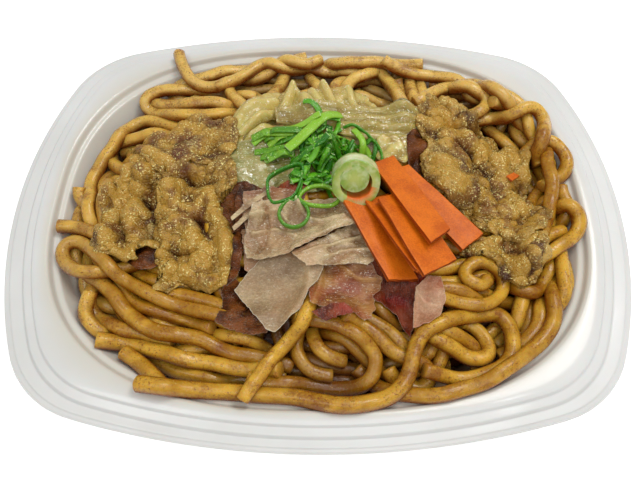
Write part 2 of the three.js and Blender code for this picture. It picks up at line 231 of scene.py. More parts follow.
def points_of(piece):
    return np.array([v.co[:] for v in piece.data.vertices])


def move_points(piece, points):
    """Puts the piece's points at these places, in millimetres."""
    piece.data.vertices.foreach_set("co", (points * MM).ravel())


def select_faces(piece, wanted):
    """Goes into edit mode with the faces selected for which wanted says so."""
    bpy.ops.object.mode_set(mode="EDIT")
    bpy.ops.mesh.select_mode(type="FACE")
    bpy.ops.mesh.select_all(action="DESELECT")
    bpy.ops.object.mode_set(mode="OBJECT")
    for face in piece.data.polygons:
        face.select = wanted(face)
    bpy.ops.object.mode_set(mode="EDIT")


def subdivide(cuts):
    bpy.ops.object.mode_set(mode="EDIT")
    bpy.ops.mesh.select_all(action="SELECT")
    bpy.ops.mesh.subdivide(number_cuts=cuts)
    bpy.ops.object.mode_set(mode="OBJECT")


def finish(piece, paint):
    """Smooth faces and one paint."""
    piece.data.polygons.foreach_set("use_smooth", [True] * len(piece.data.polygons))
    piece.data.materials.append(paint)


def apply_modifier(obj, kind, **settings):
    only(obj)
    modifier = obj.modifiers.new(kind.title(), kind)
    for name, value in settings.items():
        setattr(modifier, name, value)
    bpy.ops.object.modifier_apply(modifier=modifier.name)


def smooth_route(points, spacing, closed=False):
    """Points at even spacing along a smooth curve through the given ones."""
    points = np.asarray(points, float)
    if closed:
        padded = np.vstack([points[-1:], points, points[:2]])
    else:
        padded = np.vstack([2 * points[0] - points[1], points, 2 * points[-1] - points[-2]])
    line = []
    for a, b, c, d in zip(padded, padded[1:], padded[2:], padded[3:]):
        t = np.linspace(0, 1, 24, endpoint=False)[:, None]
        line.append(0.5 * (2 * b + (c - a) * t + (2 * a - 5 * b + 4 * c - d) * t**2
                           + (3 * b - a - 3 * c + d) * t**3))
    line = np.vstack(line + [padded[-2:-1]])
    run = np.concatenate([[0], np.cumsum(np.linalg.norm(np.diff(line, axis=0), axis=1))])
    count = max(4, round(run[-1] / spacing))
    steps = np.linspace(0, run[-1], count + 1)[:-1 if closed else None]
    return np.stack([np.interp(steps, run, line[:, k]) for k in range(line.shape[1])], 1)


def flat_xyz(xy, z=0.0):
    return np.column_stack([xy, np.full(len(xy), z) if np.isscalar(z) else z])


def ripples(points, size, seed, octaves=3):
    """Smooth noise at each point, from about -1 to 1."""
    offset = Vector((seed * 13.7, seed * 7.1, seed * 3.3))
    return np.array([noise.fractal(Vector(p) / size + offset, 0.9, 2.1, octaves) for p in points])


# ---------------------------------------------------------------- camera, light and floor

def unit(azimuth, elevation):
    return Vector((math.sin(azimuth) * math.cos(elevation), -math.cos(azimuth) * math.cos(elevation),
                   math.sin(elevation)))


def make_camera():
    aim, distance = Vector((0.4, -14.2, LIP)), 214.4
    azimuth, elevation, roll = map(math.radians, (-0.61, 61.8, -0.86))
    back = unit(azimuth, elevation)
    right = Vector((math.cos(azimuth), math.sin(azimuth), 0))
    up = back.cross(right)
    across = math.cos(roll) * right - math.sin(roll) * up
    upward = math.sin(roll) * right + math.cos(roll) * up
    lens = bpy.data.cameras.new("camera")
    lens.lens = 33.43
    lens.sensor_width = 36
    lens.clip_start = 0.01
    camera = bpy.data.objects.new("camera", lens)
    turn = Matrix((across, upward, back)).transposed().to_4x4()
    camera.matrix_world = Matrix.Translation((aim + back * distance) * MM) @ turn
    bpy.context.collection.objects.link(camera)
    bpy.context.scene.camera = camera


def make_lights():
    for name, azimuth, elevation, size, power in (
        ("key_light", 130, 64, 0.3, 2.1),
        ("side_light", -60, 62, 0.25, 0.7),
        ("fill_light", 10, 66, 0.4, 0.8),
        ("glint_light_left", 135, 58, 0.05, 0.14),
        ("glint_light_back", 80, 66, 0.05, 0.14),
        ("glint_light_right", 35, 50, 0.05, 0.1),
    ):
        lamp = bpy.data.lights.new(name, "AREA")
        lamp.size = size
        lamp.energy = power
        light = bpy.data.objects.new(name, lamp)
        away = unit(math.radians(azimuth), math.radians(elevation))
        light.location = away * LAMP_DISTANCE
        light.rotation_euler = away.to_track_quat("Z", "Y").to_euler()
        bpy.context.collection.objects.link(light)
    world = bpy.data.worlds.new("studio")
    world.use_nodes = True
    sky = world.node_tree.nodes["Background"].inputs
    sky["Color"].default_value = (1, 1, 1, 1)
    sky["Strength"].default_value = 0.43
    bpy.context.scene.world = world
    bpy.context.scene.view_settings.view_transform = "Standard"


def make_floor():
    floor = primitive(bpy.ops.mesh.primitive_plane_add, "floor", size=6, location=(0, 0, -FLOOR_GAP))
    paint = material("floor_white", lambda place: {
        "Base Color": place.noise(0.002).blend("#fdfdfc", "#ffffff")}, Roughness=0.8,
        Emission_Color=(1, 1, 1, 1), Emission_Strength=0.35)
    floor.data.materials.append(paint)


# ---------------------------------------------------------------- tray

def outline_radius(angle):
    """Distance from the middle to the tray's outline, which is eight tangent arcs."""
    ray = np.array([abs(math.cos(angle)), abs(math.sin(angle))])
    corner = np.array(CORNER)
    end = np.array([TRAY_LENGTH / 2 - END_ARC, 0])
    side = np.array([0, TRAY_DEPTH / 2 - SIDE_ARC])
    end_join = end + (corner - end) * END_ARC / np.linalg.norm(corner - end)
    side_join = side + (corner - side) * SIDE_ARC / np.linalg.norm(corner - side)
    slope = ray[1] / max(ray[0], 1e-9)
    if slope < end_join[1] / end_join[0]:
        centre, radius = end, END_ARC
    elif slope > side_join[1] / side_join[0]:
        centre, radius = side, SIDE_ARC
    else:
        centre, radius = corner, CORNER_ARC
    along = centre @ ray
    return along + math.sqrt(along**2 - centre @ centre + radius**2)


def well_radius(angle, inset):
    x = abs(math.cos(angle) / (WELL_LENGTH / 2 - inset)) ** WELL_SQUARENESS
    y = abs(math.sin(angle) / (WELL_DEPTH / 2 - inset)) ** WELL_SQUARENESS
    return (x + y) ** (-1 / WELL_SQUARENESS)


def well_ring(angles, inset, z):
    reach = [(a, well_radius(a, inset)) for a in angles]
    return [(radius * math.cos(a), radius * math.sin(a), LIP + z) for a, radius in reach]


def lofted(rings, bottom, top):
    """The points and faces of a skin over rings of points, closed by one point at each end."""
    spokes = len(rings[0])
    points = np.vstack([np.asarray(ring) for ring in rings] + [[bottom], [top]])
    first, last = len(points) - 2, len(points) - 1
    rim = (len(rings) - 1) * spokes
    faces = []
    for s in range(spokes):
        n = (s + 1) % spokes
        faces.append((first, n, s))
        faces += [(a + s, a + n, a + spokes + n, a + spokes + s) for a in range(0, rim, spokes)]
        faces.append((rim + s, rim + n, last))
    return points, faces


# The well's section: how far in from its edge, and how high above the lip.
FLOOR = FOAM - LIP
WELL_SECTION = [(-0.9, 3.9), (0, 3.4), (0.9, 1.3), (2.7, 0.8), (3.4, -0.4), (14.5, FLOOR + 4),
                (17.4, FLOOR + 1.3), (21.5, FLOOR)]
UNDER_SECTION = [(19.5, -LIP), (15.8, 2.4 - LIP), (12.8, 5 - LIP), (1.6, -1.5), (-0.6, -0.6), (-1.6, 1.8)]
# The rim's section: insets at the ends and at the sides, and the height above the lip.
UNDER_RIM = [(10.9, 8.1, 1.5), (8.4, 5.6, 0.2), (6.6, 4.2, -0.9), (0.6, 0.6, -1.8), (0, 0, -0.9)]
RIM = [(0.5, 0.5, 0), (2.2, 1.4, 0.3), (2.6, 1.7, 0.75), (6.8, 4.0, 0.8), (7.7, 4.8, 2), (10.2, 7.3, 2.3),
       (10.9, 7.9, 3.3), (12, 9, 3.5)]


def rounded(section, spacing, passes=1):
    """The section with a point at least every few tenths, its corners eased."""
    points = np.asarray(section, float)
    fine = [points[0]]
    for a, b in zip(points, points[1:]):
        parts = max(1, math.ceil(np.linalg.norm(b - a) / spacing))
        fine += [a + (b - a) * k / parts for k in range(1, parts + 1)]
    fine = np.array(fine)
    for _ in range(passes):
        fine[1:-1] = (fine[:-2] + 2 * fine[1:-1] + fine[2:]) / 4
    return fine


def make_tray():
    angles = []
    for k in range(TRAY_SPOKES):
        turn = 2 * math.pi * k / TRAY_SPOKES
        # The spokes stand closer where the outline bends most.
        x, y = (math.copysign(abs(part) ** 0.85, part) for part in (math.cos(turn), math.sin(turn)))
        angles.append(math.atan2(WELL_DEPTH * y, WELL_LENGTH * x))

    def along_rim(end_in, side_in, z):
        return [(outline_radius(a) * math.cos(a) * (1 - 2 * end_in / TRAY_LENGTH),
                 outline_radius(a) * math.sin(a) * (1 - 2 * side_in / TRAY_DEPTH), LIP + z) for a in angles]

    rings = [well_ring(angles, 23, -LIP)]
    rings += [well_ring(angles, *p) for p in rounded(UNDER_SECTION, 1.5, 3)]
    rings += [along_rim(*p) for p in rounded(UNDER_RIM, 0.8, 3)]
    rings += [along_rim(*p) for p in rounded(RIM, 0.3)]
    outside = len(rings)
    rings += [well_ring(angles, *p) for p in rounded(WELL_SECTION, 0.4, 2)]
    rings += [well_ring(angles, inset, FLOOR) for inset in (30, 45, 60)]
    points, faces = lofted(rings, (0, 0, 0), (0, 0, FOAM))

    # Small beads of foam, with a painted warm reflection of the food inside the well, and browner in patches
    # low on its wall.
    def paint(place):
        beads = place.cells(0.55, "SMOOTH_F1")
        grain = place.noise(1.4, 2.0) * 0.4 + beads * 0.6
        cloud = place.noise(0.03).between(0.3, 0.7)
        well = attribute(place, "well")
        low = height(place).between(LIP - 4, LIP - 8) * place.noise(0.08).between(0.1, 0.4) * well
        # Painted reflection: a warm tint from the food inside the well.
        food_reflection_tint = (well * 0.55).blend(cloud.blend("#e0e1dd", "#e7e8e5"), "#d3ccb8")
        return {"Base Color": (low * 0.8).blend(food_reflection_tint, "#a9783c"),
                "Roughness": grain * 0.1 + 0.3,
                "Normal": grain.bump(0.08, 0.0002)}

    foam = material("white_foam", paint, Coat_Weight=0.5, Coat_Roughness=0.12, Subsurface_Weight=0.1,
                    Subsurface_Scale=0.003)
    well = np.arange(len(points)) >= outside * TRAY_SPOKES
    return add_mesh("tray_shell", points, faces, foam, {"well": well}, slot="foam", replaces=["tray"])


# ---------------------------------------------------------------- the heights of what is laid so far

def blur(field):
    field = np.pad(field, 1, mode="edge")
    field = (field[:-2] + 2 * field[1:-1] + field[2:]) / 4
    return (field[:, :-2] + 2 * field[:, 1:-1] + field[:, 2:]) / 4


class Bed:
    """The dish from above: the height of its top at each cell, in millimetres."""

    def __init__(self):
        xs = np.arange(-118, 118.1, BED_CELL)
        ys = np.arange(-94, 94.1, BED_CELL)
        self.corner = np.array([xs[0], ys[0]])
        self.x, self.y = np.meshgrid(xs, ys, indexing="ij")
        # How far in from the well's edge each cell lies, found by halving the range.
        low = np.full(self.x.shape, -30.0)
        high = np.full(self.x.shape, 74.0)
        for _ in range(24):
            middle = (low + high) / 2
            ratio = (np.abs(self.x) / (WELL_LENGTH / 2 - middle)) ** WELL_SQUARENESS
            ratio += (np.abs(self.y) / (WELL_DEPTH / 2 - middle)) ** WELL_SQUARENESS
            inside = ratio < 1
            low = np.where(inside, middle, low)
            high = np.where(inside, high, middle)
        self.inset = low
        section = np.array(WELL_SECTION)
        self.z = LIP + np.interp(low, section[:, 0], section[:, 1])

    def cell(self, xy):
        found = np.rint((np.asarray(xy)[..., :2] - self.corner) / BED_CELL).astype(int)
        return tuple(np.clip(found[..., k], BED_MARGIN, self.z.shape[k] - BED_MARGIN - 1) for k in (0, 1))

    def ball(self, radius):
        """The cells under a ball, and how far its top stands over its middle at each."""
        reach = int(radius / BED_CELL)
        near = [(i, j, math.sqrt(radius**2 - (i * i + j * j) * BED_CELL**2))
                for i in range(-reach, reach + 1) for j in range(-reach, reach + 1)
                if (i * i + j * j) * BED_CELL**2 < radius**2]
        return np.array(near).T

    def rest(self, xy, radius):
        """How high the middle of a ball lies at each point."""
        i, j = self.cell(xy)
        di, dj, cap = self.ball(radius)
        around = self.z[i[..., None] + di.astype(int), j[..., None] + dj.astype(int)]
        return (around + cap).max(-1)

    def press(self, points, radius):
        """Raises the heights to hold balls at these points."""
        i, j = self.cell(points)
        di, dj, cap = self.ball(radius)
        np.maximum.at(self.z, (i[..., None] + di.astype(int), j[..., None] + dj.astype(int)),
                      points[..., 2:3] + cap)

    def cover(self, xy, z):
        """Raises the heights to these at the cells of the points."""
        np.maximum.at(self.z, self.cell(xy), z)

    def at(self, field, xy):
        return field[self.cell(xy)]

    def between(self, field, xy):
        """The field at each point, blended from the four cells round it."""
        place = (np.asarray(xy) - self.corner) / BED_CELL
        i = np.clip(np.floor(place).astype(int), 0, np.array(field.shape) - 2)
        s, t = (place - i).T
        a, b = i.T
        return ((1 - s) * (1 - t) * field[a, b] + s * (1 - t) * field[a + 1, b]
                + (1 - s) * t * field[a, b + 1] + s * t * field[a + 1, b + 1])

    def inside(self, line):
        """The cells inside a closed outline."""
        found = np.zeros(self.x.shape, bool)
        for (ax, ay), (bx, by) in zip(line, np.roll(line, -1, axis=0)):
            if ay != by:
                crossed = (ay > self.y) != (by > self.y)
                found ^= crossed & (self.x < ax + (self.y - ay) * (bx - ax) / (by - ay))
        return found

    def drape(self, line, passes, sink=0.3):
        """The heights at which a sheet with this outline lies. It bridges more, the more passes."""
        mask = self.inside(line)
        weight = mask.astype(float)
        z = np.where(mask, self.z - sink, 0)
        need = z
        for _ in range(passes):
            soft = blur(z * weight) / np.maximum(blur(weight), 1e-6)
            z = np.where(mask, np.maximum(need, soft), 0)
        for _ in range(3):
            z = np.where(mask, blur(z * weight) / np.maximum(blur(weight), 1e-6), 0)
        for _ in range(6):
            spread = blur(weight)
            grown = blur(z * weight) / np.maximum(spread, 1e-6)
            z = np.where(weight > 0, z, grown)
            weight = (spread > 0).astype(float)
        return z


bed = Bed()


def mound(fall, crown, edge):
    """A dome over the well: crown above the lip in the middle, falling to edge near the wall."""
    share = (np.abs(bed.x) / (WELL_LENGTH / 2 - edge)) ** MOUND_SQUARENESS
    share += (np.abs(bed.y) / (WELL_DEPTH / 2 - edge)) ** MOUND_SQUARENESS
    return LIP + crown - fall * share


# ---------------------------------------------------------------- noodles

def seen_at(xy, level, z):
    """Where a point marked at one level stands at its own height, so that the eye sees it at its mark."""
    eye = np.array(EYE[:2])
    share = (EYE[2] - np.asarray(z, float)) / (EYE[2] - LIP - level)
    return eye + (np.asarray(xy) - eye) * np.reshape(share, (-1, 1))


def lay(route, radius, sink=0.7, passes=16, spacing=1.25):
    """Lays a strand on the bed: it rests on what is below, spans hollows and climbs over itself."""
    plan = smooth_route(route, spacing)
    need = bed.rest(plan, radius) - sink
    # The second round lifts the strand where it crosses its own start.
    for _ in range(2):
        z = need.copy()
        for _ in range(passes):
            soft = z.copy()
            soft[1:-1] = (z[:-2] + 2 * z[1:-1] + z[2:]) / 4
            z = np.maximum(need, soft)
        gap = np.linalg.norm(plan[:, None] - plan[None], axis=2)
        later = np.arange(len(plan))[:, None] - np.arange(len(plan))[None] > 3.2 * radius / spacing
        near = later & (gap < 2 * radius)
        if not near.any():
            break
        over = np.where(near, z[None] + np.sqrt(np.maximum(4 * radius**2 - gap**2, 0)) - sink, -99)
        need = np.maximum(need, over.max(1))
    for _ in range(3):
        z[1:-1] = (z[:-2] + 2 * z[1:-1] + z[2:]) / 4
    points = np.column_stack([plan, z])
    bed.press(points, radius)
    return points


class Strands:
    """Gathers tubes into one mesh, each point marked with its strand's tone and its run along it."""

    def __init__(self, sides, squareness=3.0):
        turn = np.arange(sides) * 2 * np.pi / sides + np.pi / sides
        reach = (np.abs(np.cos(turn)) ** squareness + np.abs(np.sin(turn)) ** squareness) ** (-1 / squareness)
        self.ring = np.column_stack([np.cos(turn), np.sin(turn)]) * reach[:, None]
        self.points, self.faces, self.tone, self.run, self.end = [], [], [], [], []
        self.count = 0

    def add(self, line, wide, tall, tone, twist=0.0, start=0.0, closed=False):
        sides = len(self.ring)
        if closed:
            tangent = np.roll(line, -1, axis=0) - np.roll(line, 1, axis=0)
        else:
            tangent = np.gradient(line, axis=0)
        tangent /= np.linalg.norm(tangent, axis=1)[:, None]
        side = np.cross(tangent, [0, 0, 1.0])
        side /= np.maximum(np.linalg.norm(side, axis=1), 1e-6)[:, None]
        rise = np.cross(side, tangent)
        angle = start + twist * np.linspace(0, 1, len(line))
        c, s = np.cos(angle), np.sin(angle)
        u, v = self.ring[:, 0], self.ring[:, 1]
        across = (c[:, None] * u - s[:, None] * v) * wide
        upward = (s[:, None] * u + c[:, None] * v) * tall
        rings = line[:, None] + across[..., None] * side[:, None] + upward[..., None] * rise[:, None]
        run = np.concatenate([[0], np.cumsum(np.linalg.norm(np.diff(line, axis=0), axis=1))])
        base, rows = self.count, len(line)
        self.points.append(rings.reshape(-1, 3))
        self.tone.append(np.full(rows * sides, tone))
        self.run.append(np.repeat(run, sides))
        self.end.append(np.zeros(rows * sides))
        self.count += rows * sides
        for row in range(rows if closed else rows - 1):
            a, b = base + row * sides, base + (row + 1) % rows * sides
            for k in range(sides):
                n = (k + 1) % sides
                self.faces.append((a + n, a + k, b + k, b + n))
        if closed:
            return
        # Each end is closed by a smaller ring and a point a little further out.
        for row, way in ((0, -1), (rows - 1, 1)):
            rim = base + row * sides
            cap = line[row] + (rings[row] - line[row]) * 0.86 + way * tangent[row] * 0.25
            self.points += [cap, line[row][None] + way * tangent[row] * 0.3]
            self.tone.append(np.full(sides + 1, tone))
            self.run.append(np.full(sides + 1, run[row]))
            self.end.append(np.ones(sides + 1))
            first, middle = self.count, self.count + sides
            self.count += sides + 1
            for k in range(sides):
                n = (k + 1) % sides
                quad = (rim + k, rim + n, first + n, first + k)
                fan = (first + k, first + n, middle)
                self.faces += [quad, fan] if way < 0 else [quad[::-1], fan[::-1]]

    def build(self, name, paint, **options):
        marks = {"tone": np.concatenate(self.tone), "run": np.concatenate(self.run),
                 "end": np.concatenate(self.end)}
        return add_mesh(name, np.vstack(self.points), self.faces, paint, marks, **options)


def noodle_paint():
    def paint(place):
        tone = attribute(place, "tone")
        run = attribute(place, "run")
        # Painted shade with sauce: the lower a noodle lies in the heap, the darker it is painted.
        depth = height(place).between(LIP - 13, LIP + 4)
        along = place.node("CombineXYZ", {0: run * 0.12, 1: tone * 40})
        cloud = place.noise(0.16, 4.0) * 0.55 + along.noise(1.0, 2.0) * 0.45
        body = (cloud + (tone - 0.5) * 0.25).between(0.3, 0.7)
        flesh = body.blend("#a8730c", "#e2b038")
        # Painted light: the noodles at the back and at the left are painted paler, where the lamps light them
        # more.
        back = axis(place, "Y").between(15, 62)
        left = axis(place, "X").between(-62, -86)
        back_left_lit = (back * 0.7 + left * 0.3).blend(flesh, "#f0cb6e")
        # Painted shade: the sides of a strand that turn away from the top are painted darker brown.
        sides = (facing_up(place) + place.noise(0.3) * 0.5).between(0.1, 1.1)
        turned = sides.blend("#8c480d", back_left_lit)
        sauce = (place.noise(0.1, 4.0, 0.65) + place.noise(1.1, 2.0) * 0.25).between(0.62, 0.84) * 0.7
        soaked = sauce.blend(turned, "#80400e")
        # Painted shade with sauce: the low noodles in the front middle of the heap are painted dark.
        away = place.node("VectorMath", {0: place, 1: (6, -42, LIP)}, out=1, operation="DISTANCE")
        front_low_shade_and_sauce = away.between(40, 20) * height(place).between(LIP + 7.5, LIP - 1)
        shade_and_sauce_low = (front_low_shade_and_sauce * 0.75).blend(soaked, "#5c2a0c")
        # Painted shade and sauce: dark brown low in the heap.
        low_shade_and_sauce = depth.blend("#4f2409", shade_and_sauce_low)
        speck = place.noise(1.5, 3.0, 0.7).between(0.55, 0.63) * place.noise(0.2, 3.0).between(0.38, 0.56)
        dotted = (speck * 0.8).blend(low_shade_and_sauce, "#7a340a")
        cut = attribute(place, "end") * 0.5
        grain = place.noise(2.2, 3.0) * 0.5 + place.noise(0.45, 2.0)
        # Painted glints: pale specks on the noodles that stand in for highlights.
        painted_glint = painted_glints(place, 1.6, 0.02) * 0.4
        return {"Base Color": painted_glint.blend(cut.blend(dotted, "#c89838"), "#f0d588"),
                "Roughness": place.noise(0.5).between(0.3, 0.7) * 0.2 + 0.16,
                "Normal": grain.bump(0.4, 0.0004)}

    return material("fried_noodle", paint, Subsurface_Weight=0.25, Subsurface_Scale=0.004,
                    Specular_IOR_Level=0.5)


def wander(rng, length):
    """A loose route through the well that turns back before the wall."""
    step, look_ahead = 4, 9
    while True:
        spot = np.array([rng.uniform(-84, 84), rng.uniform(-64, 62)])
        if bed.at(bed.inset, spot) > 14:
            break
    heading = rng.uniform(0, 2 * math.pi)
    bend = rng.uniform(-0.05, 0.05)
    side = rng.choice((-1, 1))
    route = [spot]
    for _ in range(int(length / step)):
        bend = 0.8 * bend + rng.gauss(0, 0.045)
        ahead = spot + look_ahead * np.array([math.cos(heading), math.sin(heading)])
        if bed.at(bed.inset, ahead) < well_margin(ahead):
            heading += side * 0.42
        else:
            heading += bend * 2.2
        spot = spot + step * np.array([math.cos(heading), math.sin(heading)])
        if bed.at(bed.inset, spot) < well_margin(spot):
            return route[:-3] if len(route) > 8 else route
        route.append(spot)
    return route


def well_margin(spot):
    """How far in from the well's edge the loose noodles stay. They leave a hollow at the back left."""
    angle = math.atan2(spot[1], spot[0])
    return 9 + 5 * max(0, math.cos(angle - 2.55)) ** 2


def fill_noodles(lines, radii, count, target):
    """Loose noodles, each laid where the bed is lowest under the target."""
    rng = random.Random(7)
    for _ in range(count):
        tries = []
        for _ in range(14):
            route = wander(rng, rng.uniform(60, 130))
            # Two corners of the well stay free: the back left and the front right.
            if len(route) > 8 and not any(x < -70 and y > 14 or x > 82 and y < -18 for x, y in route):
                plan = smooth_route(route, 3)
                tries.append((float((bed.rest(plan, NOODLE_RADIUS) - bed.at(target, plan)).mean()), route))
        if tries:
            route = min(tries, key=lambda item: item[0])[1]
            radii.append(NOODLE_RADIUS * rng.uniform(0.93, 1.04))
            lines.append(lay(route, radii[-1], spacing=1.6))


# The noodles that are seen, from the lowest to the highest, each by the points that it passes through.
NOODLES = [
    # left
    [(-76, -38), (-76.5, -45), (-72, -50), (-64, -53)],
    [(-73, -28), (-75.5, -36), (-75, -42), (-72, -47), (-67, -50), (-57, -52), (-46, -55)],
    [(-50, 30), (-60, 33), (-68, 35), (-73, 31), (-77, 25), (-80, 17), (-83, 8), (-84, 0), (-82, -8),
     (-78, -16), (-76, -25), (-70, -31)],
    [(-53, 26), (-62, 27), (-70, 26), (-77, 22), (-78, 15), (-72, 10), (-64, 9)],
    [(-76, 6), (-78, -2), (-76, -11), (-72, -19), (-68, -26)],
    [(-92, -12.5), (-85, -13), (-79, -15), (-71, -19)],
    [(-68, -35), (-63, -40), (-57, -43.5), (-50, -45.5), (-42, -47.5), (-34, -50)],
    [(-78, -31), (-71, -35), (-65, -42), (-60, -47.5), (-52, -51.5), (-42, -53), (-34, -55), (-26, -59),
     (-18, -61), (-8, -62.5)],
    [(-50, -22), (-62, -27.5), (-75, -30.5), (-83, -29.5), (-88, -25), (-88.5, -20), (-84, -18), (-77, -23),
     (-71, -29), (-65, -33.5), (-58, -37), (-50, -41), (-42, -43.5), (-35, -45), (-26, -47), (-18, -47)],
    # front left
    [(-60, -55), (-53, -59.5), (-46, -63.5), (-38, -65.5), (-30, -66), (-22, -66), (-10, -66)],
    [(-71, -54), (-60, -55), (-50, -57.5), (-42, -60), (-34, -61.5), (-24, -62.5), (-12, -64)],
    [(-62, -58), (-57, -61), (-52, -65), (-48, -69)],
    # right, low
    [(69, -23), (70, -30), (68, -38), (66, -45), (62, -51), (56, -55)],
    [(74, -22), (76, -30), (74, -38), (73, -45), (70, -50.5), (64, -55.5), (57, -59)],
    [(77, -20), (80, -28), (79, -36), (77.5, -45), (73, -52.5), (67, -57.5), (60, -62), (52, -67),
     (44, -69.5), (36, -71.5), (27, -71), (19, -69.5), (12, -63)],
    [(2, -42), (13, -46), (20, -49.5), (26, -54), (30, -60), (31, -66)],
    [(8, -46), (15, -50), (20, -55), (26, -59), (31, -60), (34.5, -63), (34.5, -67), (31, -69.5), (26, -68),
     (20, -63)],
    [(36, -49), (46, -53), (51, -57.5), (50, -62)],
    [(30, -49), (36, -51), (41, -54.5), (46, -59), (51, -61), (54, -59), (54, -54), (51, -49.5), (45, -46)],
    [(36, -37), (43, -36), (50, -37.5), (54, -41), (54, -46)],
    # front middle
    [(-3, -49), (-1, -55), (2, -59), (8, -61)],
    [(-3, -46), (-7, -53), (-7, -59), (-3, -63.5), (4, -65.5)],
    [(-8, -46), (0, -47), (8, -48), (14, -52), (18, -57.5), (18.5, -63), (15, -68), (7, -69.5), (-2, -68.5),
     (-12, -67), (-22, -66)],
    [(-56, -68), (-47, -69), (-38, -70), (-28, -70.5), (-20, -71), (-10, -71.5), (-2, -73), (6, -74.5),
     (14, -74), (20, -72.5), (25, -70), (28.5, -64.5), (30.5, -57), (34, -51), (42, -47), (50, -45),
     (56, -43.5), (60.5, -45.5), (62.5, -50), (62.5, -56), (60, -61), (56, -63.5), (50, -65.5),
     (44, -66.5), (38, -65), (33, -63)],
    # right
    [(62, -33), (66, -36), (72, -37.5), (77, -34.5), (79.5, -28), (77, -20)],
    [(57, -32), (54.5, -35.5), (50.5, -35), (48.8, -30.5), (51.5, -26.5), (56, -25), (60.7, -28),
     (62.6, -33.6), (60, -38.5), (55.6, -41.4), (50.5, -41.5), (45.5, -39.5), (39, -38)],
    [(86, -14), (80, -15.5), (76, -19)],
    [(76, 18), (80, 22.5), (85, 25.5), (90, 25), (93.5, 20), (93, 14), (89, 9), (82, 5)],
    [(80, -1), (85, -5), (89, -1.5), (92.5, -4), (93, -10), (89, -16), (83, -20.5), (76, -24.5), (68, -27)],
    [(84, 24), (86, 13), (85.5, 4), (83.5, -4), (80, -11), (77, -18), (73, -24)],
    [(69, 46), (74, 45.5), (76, 42.5), (73, 39.5), (66, 38)],
    [(58, 34), (65, 37), (73, 38), (78, 41), (83, 43.5), (87.5, 40), (88, 33), (85.5, 25), (84, 15)],
    # back
    [(31, 58), (32, 51), (33, 43), (33, 36)],
    [(36, 57), (37, 49), (38, 41)],
    [(41, 56), (41.5, 48), (43, 42)],
    [(38, 45), (45, 49.5), (53, 53.5), (61, 54), (67, 51), (67.5, 45), (63, 39.5), (55, 37), (48, 40)],
    [(-34, 41), (-42, 44.5), (-52, 43), (-61, 41.5), (-66, 43)],
    [(-26, 46), (-42, 48.5), (-55, 51), (-65, 50), (-69.5, 45), (-67.5, 40), (-60, 38), (-50, 37.5),
     (-40, 38), (-30, 39)],
    [(-38, 58), (-36, 50), (-31, 43), (-24, 38)],
    [(-59, 71), (-57.5, 66), (-54, 58.5), (-50, 53.5), (-45, 52), (-38, 53.5), (-33, 57), (-29, 61),
     (-24, 65), (-19, 66), (-13, 63.5), (-5, 62.5), (5, 62), (20, 61)],
    [(8, 45), (10, 52), (13, 57), (20, 61.5), (25, 60.5), (28.5, 56), (31, 50), (33, 43)],
    # on top, across the front
    [(-23, -72.5), (-20, -68), (-16, -62), (-12, -57), (-8, -52), (-5, -47), (-3, -42), (-1, -36)],
]


def close_pairs(beads, owner, order, reach, skip):
    """Pairs of beads nearer than reach, other than neighbours along one strand."""
    cell = np.floor(beads / reach).astype(int)
    cell -= cell.min(0)
    size = cell.max(0) + 3
    code = (cell[:, 0] * size[1] + cell[:, 1]) * size[2] + cell[:, 2]
    rank = np.argsort(code, kind="stable")
    ordered = code[rank]
    found = []
    for dx, dy, dz in [(x, y, z) for x in (-1, 0, 1) for y in (-1, 0, 1) for z in (-1, 0, 1)]:
        other = code + (dx * size[1] + dy) * size[2] + dz
        low = np.searchsorted(ordered, other, "left")
        count = np.searchsorted(ordered, other, "right") - low
        first = np.repeat(np.arange(len(beads)), count)
        step = np.arange(len(first)) - np.repeat(np.cumsum(count) - count, count)
        second = rank[np.repeat(low, count) + step]
        found.append(np.column_stack([first, second])[first < second])
    a, b = np.vstack(found).T
    apart = (owner[a] != owner[b]) | (np.abs(order[a] - order[b]) > skip)
    near = np.linalg.norm(beads[a] - beads[b], axis=1) < reach
    return a[apart & near], b[apart & near]


def settle_strands(lines, radii, hold, floor):
    """Lets strands sink and slide until they touch. hold says how firmly each keeps to its route."""
    rounds, fall, dive, straighten = 140, 0.22, 0.35, 0.3
    beads = np.vstack(lines)
    lengths = [len(line) for line in lines]
    owner = np.repeat(np.arange(len(lines)), lengths)
    order = np.concatenate([np.arange(n) for n in lengths])
    radius = np.repeat(radii, lengths)
    firm = np.repeat(hold, lengths)[:, None]
    inner = (order > 0) & (order < np.repeat(lengths, lengths) - 1)
    middle = np.nonzero(inner)[0]
    home = beads[:, :2].copy()
    from_end = np.minimum(order, np.repeat(lengths, lengths) - 1 - order)
    diving = (from_end < 5) & (firm[:, 0] < 0.05)
    for k in range(rounds):
        if k % 8 == 0:
            a, b = close_pairs(beads, owner, order, reach=7.5, skip=5)
        beads[:, 2] -= (fall + dive * diving) * max(0.0, 1 - k / (rounds - 20))
        beads[:, :2] += (seen_at(home, NOODLE_MARKS, beads[:, 2]) - beads[:, :2]) * firm
        beads[middle] += straighten * ((beads[middle - 1] + beads[middle + 1]) / 2 - beads[middle])
        for _ in range(2):
            gap = beads[b] - beads[a]
            reach = np.maximum(np.linalg.norm(gap, axis=1), 1e-6)
            lack = np.maximum((radius[a] + radius[b]) * SQUASH - reach, 0)
            hit = lack > 0
            push = gap[hit] / reach[hit, None] * lack[hit, None] * 0.5
            shift = np.zeros_like(beads)
            touches = np.zeros(len(beads))
            np.add.at(shift, b[hit], push)
            np.add.at(shift, a[hit], -push)
            np.add.at(touches, b[hit], 1)
            np.add.at(touches, a[hit], 1)
            beads += shift / np.maximum(touches, 1)[:, None] ** 0.6
        beads[:, 2] = np.maximum(beads[:, 2], floor.rest(beads, NOODLE_RADIUS))
    for _ in range(4):
        beads[middle] = (beads[middle - 1] + 2 * beads[middle] + beads[middle + 1]) / 4
    return np.split(beads, np.cumsum(lengths)[:-1])


